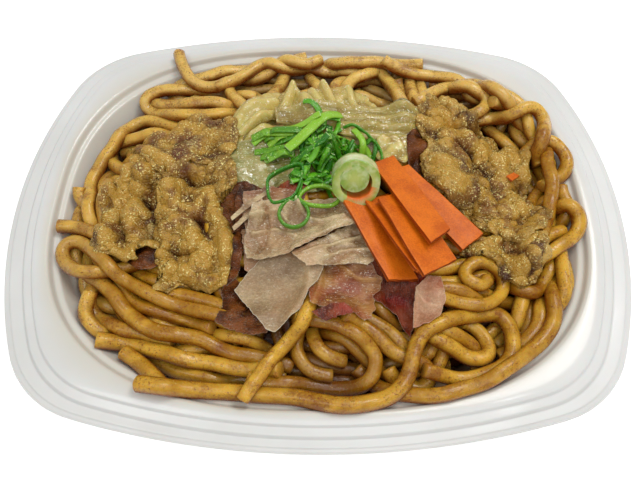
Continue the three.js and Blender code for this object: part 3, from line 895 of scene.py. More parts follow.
def make_core(top):
    """The middle of the heap, sauced and painted dark as the shade deep in the gaps, which shows only as the
    dark at the bottom of the gaps.
    """
    turns = np.linspace(0, 2 * np.pi, 97)[:-1]
    rings = [well_ring(turns, inset, z) for inset, z in
             ((24, FLOOR + 0.4), (19.5, FLOOR + 2), (15.5, -14), (13, -12.6), (16, -11))]
    rim = np.array(rings[-1])[:, :2]
    for share in np.linspace(0.96, 0.02, 40):
        ring = rim * share
        z = bed.between(top, ring) - 1.4
        z = np.minimum(z, LIP - 11 + (1 - share) * 90) + 1.3 * ripples(flat_xyz(ring), 5, 4, 2)
        rings.append(flat_xyz(ring, z))
    points, faces = lofted(rings, (0, 0, LIP + FLOOR + 0.4), rings[-1].mean(0))

    def paint(place):
        cloud = place.noise(0.25, 4.0)
        # Painted shade and sauce: the core is dark brown.
        return {"Base Color": cloud.between(0.35, 0.65).blend("#3d1a08", "#6e3815"),
                "Roughness": cloud * 0.2 + 0.2,
                "Normal": place.noise(0.5, 4.0).bump(0.6, 0.001)}

    sauce = material("sauce_and_shade_core", paint)
    return add_mesh("noodle_core", points, faces, sauce, slot="noodle", replaces=["noodle_heap"])


def make_noodles():
    core_top = mound(fall=8, crown=-1, edge=10)
    buried = bed.inset > 11
    bed.z = np.where(buried, np.maximum(bed.z, core_top), bed.z)
    start = bed.z.copy()
    paint = noodle_paint()
    lines, radii = [], []
    fill_noodles(lines, radii, LOOSE_NOODLES, mound(fall=12, crown=2, edge=8))
    loose_count = len(lines)
    rng = random.Random(3)
    for route in NOODLES:
        radii.append(NOODLE_RADIUS * rng.uniform(0.93, 1.05))
        lines.append(lay(route, radii[-1]))
    hold = [LOOSE_HOLD] * loose_count + [SEEN_HOLD] * len(NOODLES)
    bed.z = start.copy()
    make_core(core_top)
    lines = settle_strands(lines, radii, hold, bed)
    for name, first, last, sides in (("loose_noodles", 0, loose_count, 10),
                                     ("noodles", loose_count, len(lines), 12)):
        strands = Strands(sides)
        for line, radius in list(zip(lines, radii))[first:last]:
            strands.add(line, radius, radius, rng.random(), rng.uniform(-1.5, 1.5), rng.uniform(0, 3))
        strands.build(name, paint, slot="noodle", replaces=["noodle_heap"])
    for line, radius in zip(lines, radii):
        bed.press(line, radius)


# ---------------------------------------------------------------- sheets: pork, cabbage and flakes

def creases(points, size, seed):
    """Rounded swells with sharp valleys between them, from 0 to about 1."""
    offset = Vector((seed * 5.3, seed * 11.9, seed * 2.7))
    return np.array([abs(noise.noise(Vector(p) / size + offset)) * 1.6 for p in points])


def away_from(xy, route):
    """How far each point is from a line through the route's points."""
    line = smooth_route(route, 2.0) if len(route) > 2 else np.asarray(route, float)
    best = np.full(len(xy), 1e9)
    for a, b in zip(line, line[1:]):
        share = np.clip(((xy - a) @ (b - a)) / max((b - a) @ (b - a), 1e-9), 0, 1)
        best = np.minimum(best, np.linalg.norm(xy - a - share[:, None] * (b - a), axis=1))
    return best


def sheet(name, outline, paint, slot, replaces=(), thick=1.0, cells=60, passes=20, ragged=0.6,
          ragged_size=4.0, sharp=False, crumple=0.5, folds=(), edge=0.35, lift=0.0, curl=0.0, wrinkle=0.0,
          grain=0.0, seed=1, middle=None, holes=(), sink=0.3):
    """A soft piece cut to an outline and laid on what is below.

    folds are (route, height, width) ridges, or grooves where the height is negative. holes are (x, y, radius)
    tears. ragged is how far the outline strays, edge how thick the rim is, as a share of thick, and curl
    lifts the rim."""
    outline = np.asarray(outline, float)
    top = bed.z[bed.inside(outline)].mean() + thick + 1
    outline = seen_at(outline, TOPPING_MARKS, top)
    folds = [(seen_at(route, TOPPING_MARKS, top), rise, width) for route, rise, width in folds]
    holes = [(*seen_at([hole[:2]], TOPPING_MARKS, top)[0], hole[2]) for hole in holes]
    if sharp:
        corners = np.vstack([outline, outline[:1]])
        run = np.concatenate([[0], np.cumsum(np.linalg.norm(np.diff(corners, axis=0), axis=1))])
        steps = np.linspace(0, run[-1], 241)[:-1]
        line = np.column_stack([np.interp(steps, run, corners[:, k]) for k in (0, 1)])
    else:
        line = smooth_route(outline, 0.8, closed=True)
    centre = line.mean(0) if middle is None else np.array(middle, float)
    out = line - centre
    wave = ripples(flat_xyz(line, 5.0), ragged_size, seed + 40)
    line = centre + out * (1 + (ragged * wave / np.linalg.norm(out, axis=1)))[:, None]

    # A square grid is rounded to a disc, and the disc is spread out to the outline.
    piece = primitive(bpy.ops.mesh.primitive_grid_add, name, x_subdivisions=cells, y_subdivisions=cells,
                      size=2)
    spots = points_of(piece)
    disc = np.column_stack([spots[:, 0] * np.sqrt(1 - spots[:, 1]**2 / 2),
                            spots[:, 1] * np.sqrt(1 - spots[:, 0]**2 / 2)])
    share = np.linalg.norm(disc, axis=1)
    first = math.atan2(*(line[0] - centre)[::-1])
    area = np.sum(line[:, 0] * np.roll(line[:, 1], -1) - line[:, 1] * np.roll(line[:, 0], -1))
    turn = (np.arctan2(disc[:, 1], disc[:, 0]) - first) * np.sign(area) % (2 * np.pi)
    where = turn / (2 * np.pi) * len(line)
    a = np.floor(where).astype(int) % len(line)
    part = (where - np.floor(where))[:, None]
    rim = line[a] * (1 - part) + line[(a + 1) % len(line)] * part
    xy = centre + (rim - centre) * share[:, None]

    # It lies on what is below, with its own crumples, folds and wrinkles on top of that.
    resting = bed.between(bed.drape(line, passes, sink), xy)
    z = resting + crumple * ripples(flat_xyz(xy, seed * 9.0), 9.0, seed)
    for route, rise, width in folds:
        z += rise * np.exp(-(away_from(xy, route) / width)**2)
    if wrinkle:
        swirl = xy + 2.2 * np.column_stack([ripples(flat_xyz(xy), 7, seed + k, 2) for k in (5, 6)])
        z += wrinkle * (creases(flat_xyz(swirl), 8, seed) + 0.2 * creases(flat_xyz(swirl), 3.8, seed + 1)
                        + 0.25 * ripples(flat_xyz(xy), 3.0, seed + 2))
    if grain:
        z += grain * ripples(flat_xyz(xy), 1.7, seed + 3, 3)
    # The relief mark is how far each point stands over or under its smooth drape. The paints use it to paint
    # light on the raised parts and shade in the hollows.
    relief = (z - resting - np.median(z - resting)) / max(np.std(z - resting), 1e-6)
    z += curl * np.maximum(share - 0.55, 0)**2 / 0.2 + lift
    move_points(piece, flat_xyz(xy, z))
    add_mark(piece.data, "rim", share)
    add_mark(piece.data, "relief", np.clip(0.5 + 0.25 * relief, 0, 1))
    weights = piece.vertex_groups.new(name="thickness")
    for k, value in enumerate(share):
        thin = max(0.0, (value - THIN_RIM) / (1 - THIN_RIM))
        weights.add([k], float(edge + (1 - edge) * (1 - thin**2)), "REPLACE")
    if holes:
        select_faces(piece, lambda face: any((face.center.x / MM - x)**2 + (face.center.y / MM - y)**2 < r * r
                                             for x, y, r in holes))
        bpy.ops.mesh.delete(type="FACE")
        bpy.ops.object.mode_set(mode="OBJECT")
    apply_modifier(piece, "SOLIDIFY", thickness=thick * MM, offset=1, vertex_group="thickness",
                   thickness_vertex_group=0.05)
    finish(piece, paint)
    bed.cover(xy, z + thick * 0.8)
    return settle(piece, replaces)


def sheets(slot, stir, **common):
    """A maker of the sheets of one food, with the options that they have in common."""
    def make(name, node, paint, outline, **options):
        seed = len(name) * stir + len(outline)
        sheet(name, outline, paint, **{"slot": slot, "replaces": [node], "seed": seed, **common, **options})

    return make


def pork_paint():
    def paint(place):
        fibres = place.stretch(1, 2.2, 1).noise(0.9, 4.0, 0.65)
        patch = place.noise(0.13, 3.0)
        high = attribute(place, "relief")
        # Partly painted light and shade: the raised parts of the slice are painted lighter.
        tone = (patch * 0.4 + fibres * 0.25 + high * 0.35).between(0.38, 0.6)
        meat = tone.blend("#684209", "#c5973a")
        rust = place.noise(0.1, 2.0).between(0.54, 0.66) * 0.65
        browned = rust.blend(meat, "#6c3418")
        fat = place.noise(0.12, 2.0).between(0.58, 0.68) * fibres.between(0.4, 0.55)
        marbled = (fat * 0.5).blend(browned, "#cdb36c")
        # Painted shade with sauce: the hollows of the slice are painted dark brown.
        hollow = high.between(0.36, 0.06)
        shade_and_sauce_low = (hollow * 0.9).blend(marbled, "#47200c")
        # The rim is painted lighter and more golden.
        lighter_rim = attribute(place, "rim").between(0.9, 1.0) * 0.4
        # Painted glints: pale specks on the meat that stand in for highlights.
        painted_glint = painted_glints(place, 1.5, 0.08)
        grain = fibres * 0.4 + place.noise(1.0, 3.0)
        return {"Base Color": painted_glint.blend(lighter_rim.blend(shade_and_sauce_low, "#c4a050"), "#ffec9c"),
                "Roughness": place.noise(1.0).between(0.4, 0.6) * 0.2 + 0.16,
                "Normal": grain.bump(0.9, 0.0008)}

    return material("stewed_pork", paint, Subsurface_Weight=0.1, Subsurface_Scale=0.003,
                    Specular_IOR_Level=0.5)


def cabbage_paint(name, light, dark, vein):
    def paint(place):
        cloud = place.noise(0.11, 3.0)
        high = attribute(place, "relief")
        # Partly painted light and shade: the raised parts of the leaf are painted lighter.
        leaf = (cloud * 0.5 + high * 0.5).between(0.34, 0.66).blend(dark, light)
        lines = place.stretch(0.35, 1.7, 1).noise(0.5, 2.0)
        ribs = lines.math("ABSOLUTE", lines - 0.5).between(0.05, 0.0)
        veined = (ribs * 0.35).blend(leaf, vein)
        pale = attribute(place, "rim").between(0.94, 1.0) * 0.5
        grain = place.noise(0.35, 2.0) * 1.6 + ribs * 0.3
        # Painted glints: pale specks on the leaf that stand in for highlights.
        painted_glint = painted_glints(place, 1.4, 0.05)
        return {"Base Color": painted_glint.blend(pale.blend(veined, vein), "#fffbe0"),
                "Roughness": place.noise(0.7).between(0.35, 0.65) * 0.14 + 0.08,
                "Normal": grain.bump(0.4, 0.0005)}

    return material(name, paint, Subsurface_Weight=0.3, Subsurface_Scale=0.004, Specular_IOR_Level=0.8)


def flake_paint(name, light, dark, blush, alpha, stretch=(0.35, 1.6, 1), glint_strength=0.9, gloss=0.7, edge=0.25):
    def paint(place):
        fibres = place.stretch(*stretch).noise(1.1, 5.0, 0.75)
        fine = place.stretch(0.5, 1.2, 1).noise(2.4, 3.0, 0.7)
        cloud = place.noise(0.09, 3.0)
        high = attribute(place, "relief")
        # Partly painted light and shade: the raised parts of the flake are painted lighter.
        tone = (fibres * 0.35 + cloud * 0.25 + high * 0.4).between(0.3, 0.7)
        flake = tone.blend(dark, light)
        rosy = place.noise(0.1, 2.0).between(0.5, 0.66) * 0.5
        # Painted highlight: a pale line along the rim where the thin edge catches the light; edge sets its
        # strength.
        rim = attribute(place, "rim").between(0.975, 1.0) * edge
        grain = fibres * 0.8 + fine * 0.5 + place.noise(1.0, 3.0) * 0.6
        # Painted glints: pale specks on the flake that stand in for highlights.
        painted_glint = painted_glints(place.stretch(0.7, 1.3, 1), 1.7, 0.05) * glint_strength
        skin = painted_glint.blend(rosy.blend(flake, blush), "#f6ead2")
        return {"Base Color": rim.blend(skin, "#f0e6cc"),
                "Roughness": fibres.between(0.3, 0.7) * 0.2 + 0.14,
                "Alpha": fibres.between(0.3, 0.7) * 0.16 + alpha,
                "Normal": grain.bump(0.5, 0.0005)}

    return material(name, paint, Subsurface_Weight=0.1, Subsurface_Scale=0.002, Specular_IOR_Level=gloss)


def make_cabbage():
    yellow = cabbage_paint("cooked_cabbage", "#d6be68", "#a5883a", "#eadc9c")
    stem = cabbage_paint("cabbage_stem", "#b39d4e", "#937a36", "#d6c57e")
    green = cabbage_paint("pale_cabbage", "#a89c5c", "#7c7934", "#d8d49e")
    leaf = sheets("cabbage", 1, thick=1.1, ragged=0.5, ragged_size=5.0, crumple=0.6, passes=50, cells=80,
                  grain=0.04)
    leaf("cabbage_under_leaf", "cabbage_middle", yellow, [(-30, 18), (-28, 26), (-20, 34), (-6, 37), (12, 37),
         (24, 31), (26, 18), (6, 14), (-14, 16)], wrinkle=0.8,
         folds=[([(-26, 24), (-10, 27), (10, 25)], 1.4, 1.6)])
    leaf("cabbage_back_leaf", "cabbage_back", yellow, [(2, 44), (11.8, 46), (18.2, 46.5), (20.5, 38),
         (26, 33), (8, 32), (2, 37)], folds=[([(11, 46), (14, 33)], 1.6, 0.9),
         ([(19, 44), (21, 34)], 1.2, 0.9)], wrinkle=0.6, sharp=True)
    leaf("cabbage_pale_leaf", "cabbage_back", yellow, [(-5, 44), (1.4, 49), (5, 42), (7.5, 34), (-2, 33),
         (-4.5, 39)], folds=[([(1.4, 48), (4, 40), (6, 34)], 2.4, 0.9), ([(-3, 44), (1, 35)], 1.4, 0.9)],
         sharp=True, lift=0.8)
    leaf("cabbage_left_leaf", "cabbage_strip", yellow, [(-36, 19), (-34.5, 27), (-30.7, 33), (-23.9, 40),
         (-15, 43), (-13, 33), (-19, 29), (-26, 24), (-30, 17)],
         folds=[([(-33, 24), (-26, 33), (-17, 38)], 2.0, 1.4), ([(-29, 23), (-20, 31), (-14, 33)], 1.6, 0.9),
         ([(-31, 21), (-22, 27), (-15, 29)], -1.4, 0.9)], wrinkle=0.8)
    leaf("cabbage_wedge_leaf", "cabbage_wedge", yellow, [(-16, 40), (-13, 47.5), (-10.5, 49.5), (-6.5, 42),
         (-2, 34), (-6, 30), (-15, 31)], folds=[([(-10.5, 49), (-12, 40), (-14, 32)], 2.6, 1.1),
         ([(-10.5, 49), (-7, 41), (-5, 33)], 1.6, 0.9)], wrinkle=0.4, sharp=True, lift=0.8)
    leaf("cabbage_rib_leaf", "cabbage_rib", stem, [(-17, 34), (-2, 35), (7.7, 35), (26, 36), (37, 36),
         (38, 29.6), (35, 21.5), (24, 20.5), (14, 22), (0, 25), (-16, 28)], thick=1.3, cells=110, sharp=True,
         ragged=0.3, folds=[([(-14, 33), (8, 33.5), (36, 34)], 0.7, 0.7),
         ([(0, 30.5), (18, 30), (36, 30.5)], 0.6, 0.6), ([(0, 28), (18, 26.5), (36, 27)], 0.9, 0.7),
         ([(2, 24), (16, 23), (34, 23)], 0.8, 0.7)], wrinkle=0.2, crumple=0.3)
    leaf("cabbage_middle_leaf", "cabbage_middle", green, [(-34, 13), (-30, 18), (-24, 20), (-12, 18), (4, 16),
         (6, 4), (-4, -4), (-14, -2), (-19, -6), (-24, -3), (-29, 1), (-32, 7)], cells=90,
         folds=[([(-30, 12), (-22, 8), (-18, -2)], 1.0, 2.0), ([(-6, 14), (-10, 4)], 0.8, 1.2)], wrinkle=0.8)
    leaf("cabbage_small_leaf", "cabbage_small", yellow, [(22, 21), (32.4, 20.8), (34, 17), (31.3, 10.5),
         (28, 11), (21, 12)], wrinkle=0.5)


# Dark brown bonito film. Where it is laid in gaps and under holes, its dark colour is painted shade.
def dark_flake_paint():
    return bpy.data.materials.get("brown_flake") or flake_paint(
        "brown_flake", "#8c4f20", "#3c1a08", "#6c3412", 0.66, glint_strength=0.2, gloss=0.25)


def make_pork():
    paint = pork_paint()
    # Dark sheets under the holes of the left pork, in the gap beside it and at the edge of the right pork:
    # their dark colour is painted shade.
    for name, outline in (
        ("sauced_shred_left", [(-65, -24), (-58, -24), (-52, -27), (-52, -32), (-56, -33.5), (-63, -30.5)]),
        ("sauced_shred_right", [(33, 23), (39, 21), (40, 8), (33.5, 6), (31.5, 14)]),
        ("sauced_shred_middle", [(-34, -5), (-30, -2.5), (-26, -1.5), (-21, -3), (-18, -7), (-24, -13),
                                 (-32, -20), (-37, -10)]),
    ):
        sheet(name, outline, dark_flake_paint(), "flake", thick=0.4, crumple=0.8, passes=24, wrinkle=0.9,
              sink=-0.3, seed=len(name))
    pork = sheets("pork", 3, thick=1.5, ragged=1.2, ragged_size=3.0, cells=120, passes=22, grain=0.22,
                  wrinkle=2.6, edge=0.3, crumple=0.8)
    pork("pork_left_side_slice", "pork_left_side", paint, [(-64, 12), (-68, 5.6), (-71, 1.4), (-74, -3),
         (-75, -8), (-73, -17), (-74, -25), (-71, -29), (-65, -30), (-59.5, -31), (-57, -27), (-53, -26),
         (-50, -22), (-50, -6), (-53, 1), (-57, 10)],
         folds=[([(-66, 8), (-69, -6), (-71, -16), (-69, -26)], 2.4, 1.8),
         ([(-68.5, -13), (-66.7, -18), (-65, -23)], -2.4, 1.1),
         ([(-56, -6), (-56, -13), (-55.3, -23)], -2.2, 1.0), ([(-62, -5.5), (-59.5, -7.5)], -3.6, 1.8),
         ([(-64, -2), (-65, -12), (-62, -22)], 1.6, 2.0)], holes=[(-57.6, -28.3, 2.0), (-55.5, -29, 1.4),
         (-66.7, -18, 0.8)])
    pork("pork_left_back_slice", "pork_left_back", paint, [(-71, 20), (-65, 24), (-58, 26), (-54, 29),
         (-49, 31.5), (-42.7, 31.5), (-38, 28), (-31, 26.5), (-29.5, 19), (-32, 10), (-38, 7), (-45, 8),
         (-49, 5), (-55, 4), (-60, 7), (-66, 14)],
         folds=[([(-66, 17), (-58, 11), (-50, 8), (-46, 9)], 1.6, 1.4),
         ([(-70.5, 13), (-65, 12.5), (-60, 17), (-57, 15)], -2.0, 1.0),
         ([(-43.4, 12.6), (-39, 10.8), (-34, 12)], -2.2, 0.8), ([(-62, 22), (-50, 25), (-38, 22)], 1.6, 4.0)],
         wrinkle=1.3)
    pork("pork_left_front_slice", "pork_left_front", paint, [(-56.5, 5), (-49, 8), (-38.4, 7), (-31, 9),
         (-28.5, 1.7), (-29.4, -4.5), (-34, -6.6), (-32.6, -11), (-30.4, -16), (-28.6, -22.4), (-27, -34.5),
         (-33.5, -39.5), (-43.7, -37), (-48, -40), (-53.4, -39.6), (-52, -35), (-54, -28), (-52.5, -24),
         (-54, -19), (-56, -11.7), (-56, -4.4)],
         folds=[([(-37, -8), (-35, -13), (-32, -19), (-30.5, -28), (-30, -36)], 2.2, 1.3),
         ([(-41, -15.5), (-39.5, -18.5)], -3.0, 2.2), ([(-46.5, 3), (-44, 0.5)], -3.2, 2.0),
         ([(-52, -2), (-50, -8), (-44, -10), (-38, -6)], 2.0, 1.6),
         ([(-53, -25.6), (-49, -26), (-44, -26.8), (-40, -26)], -3.0, 1.0),
         ([(-49, -15), (-44, -17), (-42, -22)], 1.8, 2.4), ([(-50, -32), (-44, -33), (-35, -37)], 1.8, 2.0),
         ([(-36, -22), (-38, -16), (-43, -14)], -1.8, 1.6)], holes=[(-50.5, -25.9, 0.8), (-48.8, -26, 0.9),
         (-46.8, -26.4, 0.8)])
    pork("pork_right_front_slice", "pork_right_front", paint, [(46.6, -26), (54, -20), (59, -19), (66, -21),
         (70, -20), (75.5, -21), (74, -30), (70, -36.5), (64.5, -37), (60, -34.5), (57, -29.5), (52.8, -27)],
         cells=80)
    pork("pork_right_slice", "pork_right", paint, [(38, 36.5), (44.5, 41), (50, 41.5), (55, 37), (60, 31.5),
         (65, 27), (67, 21), (72, 20), (76.5, 15.5), (77.5, 7.6), (76, 0.2), (72, -5.7), (74, -9), (77.5, -9),
         (79, -13), (74, -19.5), (69.2, -22.4), (66, -24.3), (59, -21), (54, -17), (48, -11.5), (41, -4),
         (37, 3), (36, 11), (38.5, 15), (35, 22.7), (36, 30)], cells=130, middle=(57, 9),
         folds=[([(44, 32), (54, 22), (66, 12)], 1.6, 2.4), ([(52, 16), (60, 6), (62, -8)], -2.0, 1.4),
         ([(56, -10), (66, -18), (74, -14)], 1.4, 2.0), ([(40, 18), (48, 20), (56, 14)], -1.8, 1.2)])
    pork("pork_right_fold_slice", "pork_right_fold", paint, [(37.5, 11), (43, 15.5), (50.4, 14.5), (55.5, 8),
         (56, -2.9), (51.5, -7), (46, -6.5), (40.5, -1), (37.5, 4)], cells=90, wrinkle=1.2,
         folds=[([(44, 8), (49, 1)], 4.6, 4.4), ([(44, -4), (53, -2)], 1.2, 2.0)])


def make_flakes():
    grey = flake_paint("pale_flake", "#dcc092", "#93704a", "#bf8f64", 0.86, (0.7, 1.2, 1))
    tan = flake_paint("tan_flake", "#d6a878", "#8f5c34", "#bd7450", 0.78)
    pink = flake_paint("pink_flake", "#cf9550", "#864018", "#b04a2c", 0.66)
    film = dark_flake_paint()
    red = flake_paint("red_flake", "#a44a24", "#5a1a0c", "#ae1e24", 0.66, (1.8, 0.35, 1), glint_strength=0.2,
                      gloss=0.4)
    rosy = flake_paint("rosy_flake", "#f2c39c", "#c48a66", "#d88464", 0.7, (0.9, 0.9, 1), glint_strength=0.3,
                       gloss=0.5)
    smooth = flake_paint("smooth_flake", "#c6a77a", "#8a6c4a", "#ac8258", 0.86, (0.7, 1.2, 1), glint_strength=0.4,
                         edge=0.7)
    flake = sheets("flake", 2, thick=0.2, ragged=0.6, ragged_size=1.7, cells=80, passes=70, edge=0.6,
                   sink=-0.5, sharp=True)
    scrap = {"crumple": 0.6, "passes": 24, "wrinkle": 0.9, "sink": -0.6, "cells": 60}
    flake("dark_flake_low", "bonito_brown", film, [(-31, -41), (-27, -37), (-20, -40), (-14, -50), (-16, -55),
          (-25, -55), (-32, -52), (-30, -47)], **scrap)
    # Laid in the gap beside the left pork: a brown film whose dark colour is also painted shade there.
    flake("dark_flake_left", "bonito_brown", film, [(-28.5, -9), (-27, -3), (-24, -10), (-24, -24),
          (-26, -36), (-29, -40), (-28, -24)], **scrap)
    flake("red_flake_upper", "bonito_crumpled", red, [(-18, -3.4), (-12, -0.6), (-6.2, 1), (-3, -3), (-6, -8),
          (-16, -10)], slot="red_flake", crumple=0.6, cells=50)
    flake("red_flake", "bonito_red", red, [(8, -10), (14, -14), (20, -24), (24, -34), (33, -34), (34.5, -38),
          (31.4, -43), (30, -48), (29.6, -52), (28.2, -55.3), (26.4, -52), (24.6, -47.6), (20, -45),
          (15, -42), (12, -38), (10, -30)], slot="red_flake", curl=1.0, crumple=1.0, passes=40)
    flake("pale_flake_right", "bonito_pale", rosy, [(30.2, -40.9), (34.2, -37), (38.3, -37.5), (38.8, -45.4),
          (37.3, -49.8), (34.5, -52), (28.7, -53.7), (29.4, -47)], curl=1.2, crumple=0.6, ragged=0.3,
          folds=[([(30.5, -41), (33, -46), (37, -47)], 0.5, 0.5)])
    flake("pink_flake_middle", "bonito_pink", pink, [(-3, -33), (4.4, -30), (11.8, -30), (17, -31),
          (20.5, -36.5), (19.6, -40), (17.4, -41.5), (17.7, -46), (16, -50.5), (13.9, -51), (9.8, -48.3),
          (3.5, -48.5), (-2.7, -46), (-3.5, -40)], curl=1.2, crumple=0.8,
          folds=[([(1, -33), (0, -40), (-2, -47)], 1.0, 1.0), ([(6, -31), (12, -36), (18, -36)], 0.6, 0.7)])
    flake("pink_flake_tip", "bonito_pink", red, [(-2.5, -47.5), (3, -45.5), (8, -45), (11, -48.5), (6, -49.4),
          (2, -50.8)], cells=50, lift=-0.3)
    flake("flake_under", "bonito_side", tan, [(-26, -18), (-24, -33), (-19, -38), (-8, -35), (4, -31),
          (6, -20), (-10, -14)], crumple=0.6)
    flake("flake_side", "bonito_side", tan, [(-26, -5), (-17, -3), (-8, -6), (-8, -16), (-14, -22),
          (-24, -21), (-26, -13)], curl=1.0, crumple=0.8)
    flake("flake_sliver_upper", "bonito_side", grey, [(-30, -13.5), (-25, -8), (-17, -2.6), (-16.5, -4),
          (-23.5, -9.6), (-29.4, -15)], cells=30, lift=0.8, ragged=0.2)
    flake("flake_sliver_lower", "bonito_side", grey, [(-29.4, -17), (-25, -12.4), (-19.5, -7), (-19, -8.4),
          (-24, -14.2), (-28.6, -18.4)], cells=30, lift=0.5, ragged=0.2)
    flake("flake_front", "bonito_front", smooth, [(-27.2, -39.7), (-22.9, -34), (-19, -30), (-9.8, -27),
          (-0.4, -28), (1.5, -34), (-0.4, -38.5), (-2.6, -40.5), (-5.8, -47.4), (-10.7, -51.8),
          (-13.4, -54.6), (-16.3, -53.5)], curl=0.6, crumple=0.4, cells=100, ragged=0.25,
          folds=[([(-3, -30), (-4, -40), (-9, -50)], 0.7, 1.2)])
    flake("flake_torn", "bonito_crumpled", grey, [(-9, -28), (0, -22.5), (8, -17), (13, -14), (17.5, -15),
          (19.5, -22), (19, -28.4), (15.7, -32), (9.7, -31), (3.7, -32), (-4, -33)], crumple=0.8, cells=90,
          curl=0.5, wrinkle=0.8, folds=[([(-5, -28), (3, -24.5), (14, -20)], 1.0, 0.6),
          ([(2, -29), (9, -26), (17, -25)], 0.8, 0.6)])
    flake("flake_upper", "bonito_crumpled", grey, [(-22.3, -10), (-16, -8.5), (-9.5, -9), (-4, -8),
          (-0.5, -6), (5.4, -6), (9.5, -9.5), (14, -16), (15.5, -16.5), (6, -20), (-4, -25.5), (-9, -29),
          (-18, -30), (-23.5, -29.5), (-25, -23.5), (-24, -16)], crumple=0.9, cells=120, curl=0.8,
          wrinkle=1.2, lift=0.3, folds=[([(-22, -20), (-14, -18), (-8, -21)], 1.1, 0.8),
          ([(-8, -8), (-2, -14), (8, -14)], 1.2, 0.8), ([(-23, -14), (-15, -12), (-11, -15)], 1.2, 0.7),
          ([(-20, -27), (-17, -19), (-18, -11)], -1.0, 0.8),
          ([(-5, -26), (2, -21.5), (10, -17.5)], -0.9, 0.6)])


# ---------------------------------------------------------------- carrot

def carrot_paint():
    def paint(place):
        grain = place.noise(1.6, 3.0, 0.6)
        cloud = place.noise(0.12, 2.0)
        tone = (grain * 0.45 + cloud * 0.55).between(0.35, 0.65)
        # Painted shade: the sides and underside that face away from the top are painted darker.
        low = facing_up(place).between(0.2, 0.95)
        return {"Base Color": low.blend("#9c3f08", tone.blend("#c85a05", "#ea7812")),
                "Roughness": grain * 0.2 + 0.3,
                "Normal": (grain + place.noise(3.0, 2.0) * 0.5).bump(0.35, 0.0003)}

    return material("boiled_carrot", paint, Subsurface_Weight=0.08, Subsurface_Scale=0.002,
                    Specular_IOR_Level=0.3)


def carrot(name, corners, thick, paint, bend=0.0):
    """A cut strip with its corners in order, two at each end, laid on what is below."""
    def spread(s, t):
        return a * (1 - s) * (1 - t) + b * s * (1 - t) + c * s * t + d * (1 - s) * t

    piece = primitive(bpy.ops.mesh.primitive_cube_add, name, size=2)
    subdivide(19)
    spots = points_of(piece)
    s, t = (spots[:, :1] + 1) / 2, (spots[:, 1:2] + 1) / 2
    wobble = 0.25 * np.column_stack([ripples(spots * 8, 6, 2), ripples(spots * 8, 6, 5)])
    tops = np.full(4, LIP + TOPPING_MARKS)
    for _ in range(4):
        a, b, c, d = seen_at(corners, TOPPING_MARKS, tops)
        xy = spread(s, t) + wobble
        # It rests on a plane that almost all of what is below stays under.
        below = bed.between(bed.z, xy)
        plane = np.column_stack([xy, np.ones(len(xy))])
        fit = np.linalg.lstsq(plane, below, rcond=None)[0]
        fit[:2] = np.clip(fit[:2], -0.3, 0.3)
        shift = np.quantile(below - plane[:, :2] @ fit[:2], 0.97)
        tops = np.array([a, b, c, d]) @ fit[:2] + shift - bend + thick
    level = plane[:, :2] @ fit[:2] + shift
    level -= bend * ((2 * t[:, 0] - 1)**2)
    z = level + (spots[:, 2] + 1) / 2 * thick + 0.12 * ripples(spots * 6, 4, 8)
    move_points(piece, flat_xyz(xy, z))
    piece.data.update()
    apply_modifier(piece, "BEVEL", width=0.35 * MM, segments=2, limit_method="ANGLE", angle_limit=0.9)
    finish(piece, paint)
    bpy.ops.object.shade_smooth_by_angle(angle=0.8)
    fine = np.linspace(0, 1, 60)
    s, t = (g.ravel()[:, None] for g in np.meshgrid(fine, fine))
    xy = spread(s, t)
    bed.cover(xy, xy @ fit[:2] + shift - bend * (2 * t[:, 0] - 1)**2 + thick)
    return piece


def make_carrots():
    paint = carrot_paint()
    for name, corners, bend in (
        ("carrot_strip_1", [(8.4, -6), (18, -5.9), (32.1, -35.8), (22.4, -36)], 0.3),
        ("carrot_strip_2", [(24.5, 7), (32, 9.4), (55.3, -18.8), (47.5, -25)], 0.3),
        ("carrot_strip_4", [(16, -6), (24, -3), (34.2, -34), (31.2, -32)], 0.2),
        ("carrot_strip_3", [(20.5, -5), (31, -1), (45.3, -28.5), (34, -34.3)], 0.5),
        ("carrot_strip_5", [(18.8, 9.6), (26.8, 13.4), (44.3, -17), (37.2, -22.3)], 0.4),
    ):
        settle(carrot(name + "_cut", corners, 2.0, paint, bend), [name])
    settle(carrot("carrot_bit", [(66.6, 4.6), (69.3, 6.2), (71.2, 4.8), (68.2, 2.6)], 0.9, paint))


# ---------------------------------------------------------------- spring onion

def onion_paint(name, light, dark):
    def paint(place):
        tone = attribute(place, "tone")
        lines = place.noise(0.8, 3.0)
        shade = (lines * 0.5 + tone * 0.5).between(0.25, 0.75)
        cut = attribute(place, "end")
        # Painted glints: pale specks on the onion that stand in for highlights.
        painted_glint = painted_glints(place, 1.4, 0.03) * 0.8
        return {"Base Color": painted_glint.blend(cut.blend(shade.blend(dark, light), "#b8d98a"),
                                        "#dff5a8"),
                "Roughness": lines * 0.15 + 0.12,
                "Normal": (place.noise(1.2, 3.0) + lines).bump(0.5, 0.0005)}

    return material(name, paint, Subsurface_Weight=0.2, Subsurface_Scale=0.002, Specular_IOR_Level=0.5)


def onion_ring(strands, route, wall, tall, tone, lean=0.0):
    """A thin ring standing on its edge on what is below."""
    line = smooth_route(route, 0.7, closed=True)
    z = np.quantile(bed.rest(line, 0.8), 0.6) + tall * 0.6
    strands.add(flat_xyz(line, z + lean * (line[:, 1] - line[:, 1].mean())), wall, tall, tone, closed=True)


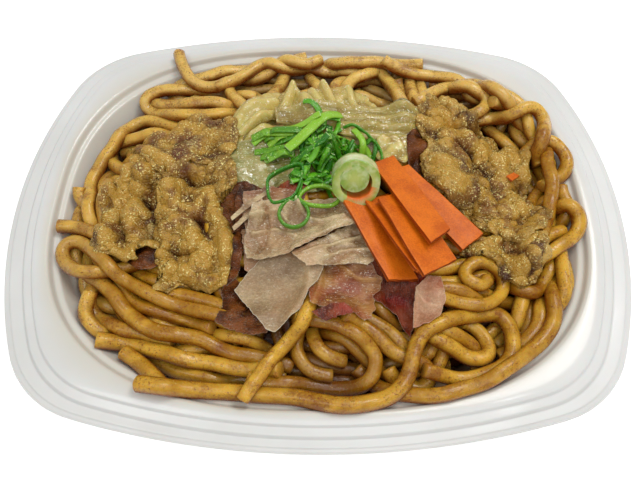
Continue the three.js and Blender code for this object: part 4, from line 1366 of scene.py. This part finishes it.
def onion_tube(name, radius, wall, tall, centre, tilt, paint, plug=False):
    """A short cut tube, its face towards the front and up. A plug has layered ends instead of a hole."""
    tube = primitive(bpy.ops.mesh.primitive_cylinder_add, name, vertices=72, radius=radius * MM,
                     depth=tall * MM, end_fill_type="NGON" if plug else "NOTHING")
    if plug:
        for way in (1, -1):
            select_faces(tube, lambda face: face.normal.z * way > 0.9)
            for step, rise in ((0.3, 0.12), (0.8, -0.1), (0.25, 0.08), (1.4, -0.08), (0.3, 0.06)):
                bpy.ops.mesh.inset(thickness=step * MM)
                bpy.ops.transform.translate(value=(0, 0, way * rise * MM))
            bpy.ops.mesh.poke()
            bpy.ops.object.mode_set(mode="OBJECT")
    else:
        subdivide(3)
        apply_modifier(tube, "SOLIDIFY", thickness=wall * MM, offset=-1)
        apply_modifier(tube, "BEVEL", width=0.3 * MM, segments=2, limit_method="ANGLE", angle_limit=0.8)
    spots = points_of(tube) / MM
    reach = np.linalg.norm(spots[:, :2], axis=1)
    # The glow mark is for a painted orange glow on the inner wall at the front, where the gap between skin
    # and heart lies in shade.
    for mark, value in (("tone", 1 - np.clip((reach - radius + wall) / wall, 0, 1)),
                        ("side", (reach > radius - 0.3) & (np.abs(spots[:, 2]) < tall / 2 - 0.35)),
                        ("glow", (reach < radius - wall + 0.3) & (spots[:, 1] < -1) & (spots[:, 0] > -3)
                         & (not plug))):
        add_mark(tube.data, mark, value)
    spots[:, :2] *= 1 + 0.04 * ripples(flat_xyz(spots[:, :2]), 6, 3, 2)[:, None]
    spots[:, 2] += 0.25 * ripples(flat_xyz(spots[:, :2]), 3, 8, 2)
    x, y, z = spots.T
    c, s = math.cos(tilt), math.sin(tilt)
    turned = np.column_stack([x, c * y - s * z, s * y + c * z])
    move_points(tube, turned + centre)
    tube.data.update()
    bpy.ops.object.shade_smooth_by_angle(angle=0.7)
    tube.data.materials.append(paint)
    return tube


def onion_skin_paint():
    def paint(place):
        inner = attribute(place, "tone")
        lines = place.stretch(1, 0.6, 0.5).noise(0.9, 3.0)
        shade = (inner * 0.6 + lines * 0.4).between(0.1, 0.75)
        ringed = shade.blend("#87a934", "#c1cb6c")
        cloud = place.noise(0.3, 2.0).between(0.45, 0.7) * 0.6
        skin = (cloud + attribute(place, "side") * 0.7).blend(ringed, "#d7dfaa")
        # Painted orange glow on the inner wall at the front, where the gap lies in shade.
        return {"Base Color": attribute(place, "glow").blend(skin, "#f07a30"),
                "Roughness": lines * 0.15 + 0.1,
                "Normal": lines.bump(0.35, 0.0004)}

    return material("pale_onion", paint, Subsurface_Weight=0.35, Subsurface_Scale=0.003,
                    Specular_IOR_Level=0.7)


def shred(heap, rng, spot, heading, reach, bow, wide, tone, lean=0.6):
    """One cut of onion leaf on the bed."""
    away = np.array([math.cos(heading), math.sin(heading)])
    side = np.array([-away[1], away[0]])
    route = [np.array(spot) + reach * k * away + bow * reach * (1 - k * k) * side
             for k in (-1, -0.5, 0, 0.5, 1)]
    line = lay(route, 0.8, sink=0.15, passes=30, spacing=0.8)
    heap.add(line, wide, 0.32, tone, rng.uniform(-0.8, 0.8), rng.uniform(-lean, lean))


def make_onions():
    dark = onion_paint("green_onion", "#6cb824", "#2b7a0e")
    light = onion_paint("light_onion", "#94c936", "#4c8d1c")
    rng = random.Random(11)
    heap = Strands(8, 5.0)
    # The heap itself, and then what has slid off it towards the left front.
    for _ in range(70):
        spot = (rng.gauss(4.5, 4.6), rng.gauss(18, 4.6))
        shred(heap, rng, spot, rng.uniform(-0.8, 1.6), rng.uniform(2.2, 5), rng.uniform(-0.6, 0.6),
              rng.uniform(0.6, 1.2), rng.random() * 0.8, 1.4)
    for _ in range(34):
        spot = (rng.uniform(-9, 4), rng.uniform(3, 15))
        shred(heap, rng, spot, rng.uniform(-0.3, 1.5), rng.uniform(2.5, 4.5), rng.uniform(-0.5, 0.5),
              rng.uniform(0.7, 1.3), rng.random(), 1.0)
    heap.build("onion_shreds", dark, slot="green_onion", replaces=["onion_pile"])
    strips = Strands(8, 5.0)
    for _ in range(16):
        spot = (rng.uniform(-20, -11), rng.uniform(13.5, 25))
        shred(strips, rng, spot, rng.uniform(-0.15, 0.45), rng.uniform(4, 7), rng.uniform(-0.12, 0.12),
              rng.uniform(1.0, 1.7), rng.random(), 0.5)
    for route, wide, start in (
        ([(-11.5, 15.5), (-6, 20.5), (-1, 26), (4, 30), (8, 32.5)], 1.9, 0.5),
        ([(-21, 27.5), (-14, 27), (-8, 26.5), (0, 29)], 1.3, 0.3),
        ([(15.9, 21.4), (18.7, 19), (17.6, 15.1)], 1.2, 0.3),
        ([(13, 27), (16, 22), (16, 17)], 1.2, -0.4),
    ):
        strips.add(lay(route, 0.9, sink=-0.1, passes=60, spacing=0.8), wide, 0.35, 1.0, 0.2, start)
    strips.build("onion_strips", light, slot="green_onion", replaces=["onion_pile"])
    arcs = Strands(8, 3.0)
    for route, wide, tall in (
        ([(9.5, 28.5), (13, 29), (17, 26.5), (20.5, 22.5), (23, 18.5), (23.2, 13)], 0.5, 1.0),
        ([(-6.2, 4.5), (-6.4, -0.6), (-8, -6)], 0.5, 0.9),
        ([(-5, 2), (0, 4), (4, 1), (7.5, -5)], 0.7, 0.9),
    ):
        arcs.add(lay(route, 0.7, spacing=0.7), wide, tall, 0.4)
    arcs.build("onion_arc", dark, slot="green_onion")
    for name, route, wall, tall, lean, paint in (
        ("onion_ring_left", [(-17.4, -5), (-18.1, -1), (-17.8, 2.5), (-14.5, 5.2), (-11, 7), (-7.5, 8.2),
                             (-5.8, 6.4), (-6.6, 1), (-8.7, -4.3), (-12, -6.3), (-15.7, -7.2)],
         0.55, 1.2, 0.1, dark),
        ("onion_ring_mid", [(-7, -4.4), (-4.6, -1), (-0.5, 0.5), (4, -0.4), (7, -4.6), (4.6, -7.4), (0, -7.8),
                            (-4.5, -7)], 0.7, 0.9, 0.0, light),
        ("onion_ring_front", [(-8.7 + 5.1 * math.cos(k * 0.785), -11.2 + 5.2 * math.sin(k * 0.785))
                              for k in range(8)], 0.6, 1.0, 0.05, light),
    ):
        ring = Strands(10, 3.0)
        onion_ring(ring, route, wall, tall, rng.random(), lean)
        ring.build(name + "_cut", paint, slot="green_onion", replaces=[name])
    skin = onion_skin_paint()
    tilt = math.radians(56)
    low = bed.z[bed.inside([(7, -6), (20, -6), (20, 3), (7, 3)])].max()
    face = flat_xyz(seen_at([(12.8, -1.2)], SLICE_MARKS, low + 6.2), low + 6.2)[0]
    along = np.array([0, -math.sin(tilt), math.cos(tilt)])
    over = np.array([0, math.cos(tilt), math.sin(tilt)])
    for name, radius, wall, tall, shift in (("onion_slice_skin", 8.3, 2.9, 8.4, 0.0),
                                            ("onion_slice_heart", 5.0, 5.0, 8.2, 1.9)):
        centre = face - along * 4.0 + over * shift + np.array([-0.35 * shift, 0, 0])
        tube = onion_tube(name, radius, wall, tall, centre, tilt, skin, plug=name.endswith("heart"))
        settle(tube, ["onion_slice"])


make_camera()
make_lights()
make_floor()
make_tray()
make_noodles()
make_cabbage()
make_pork()
make_flakes()
make_carrots()
make_onions()
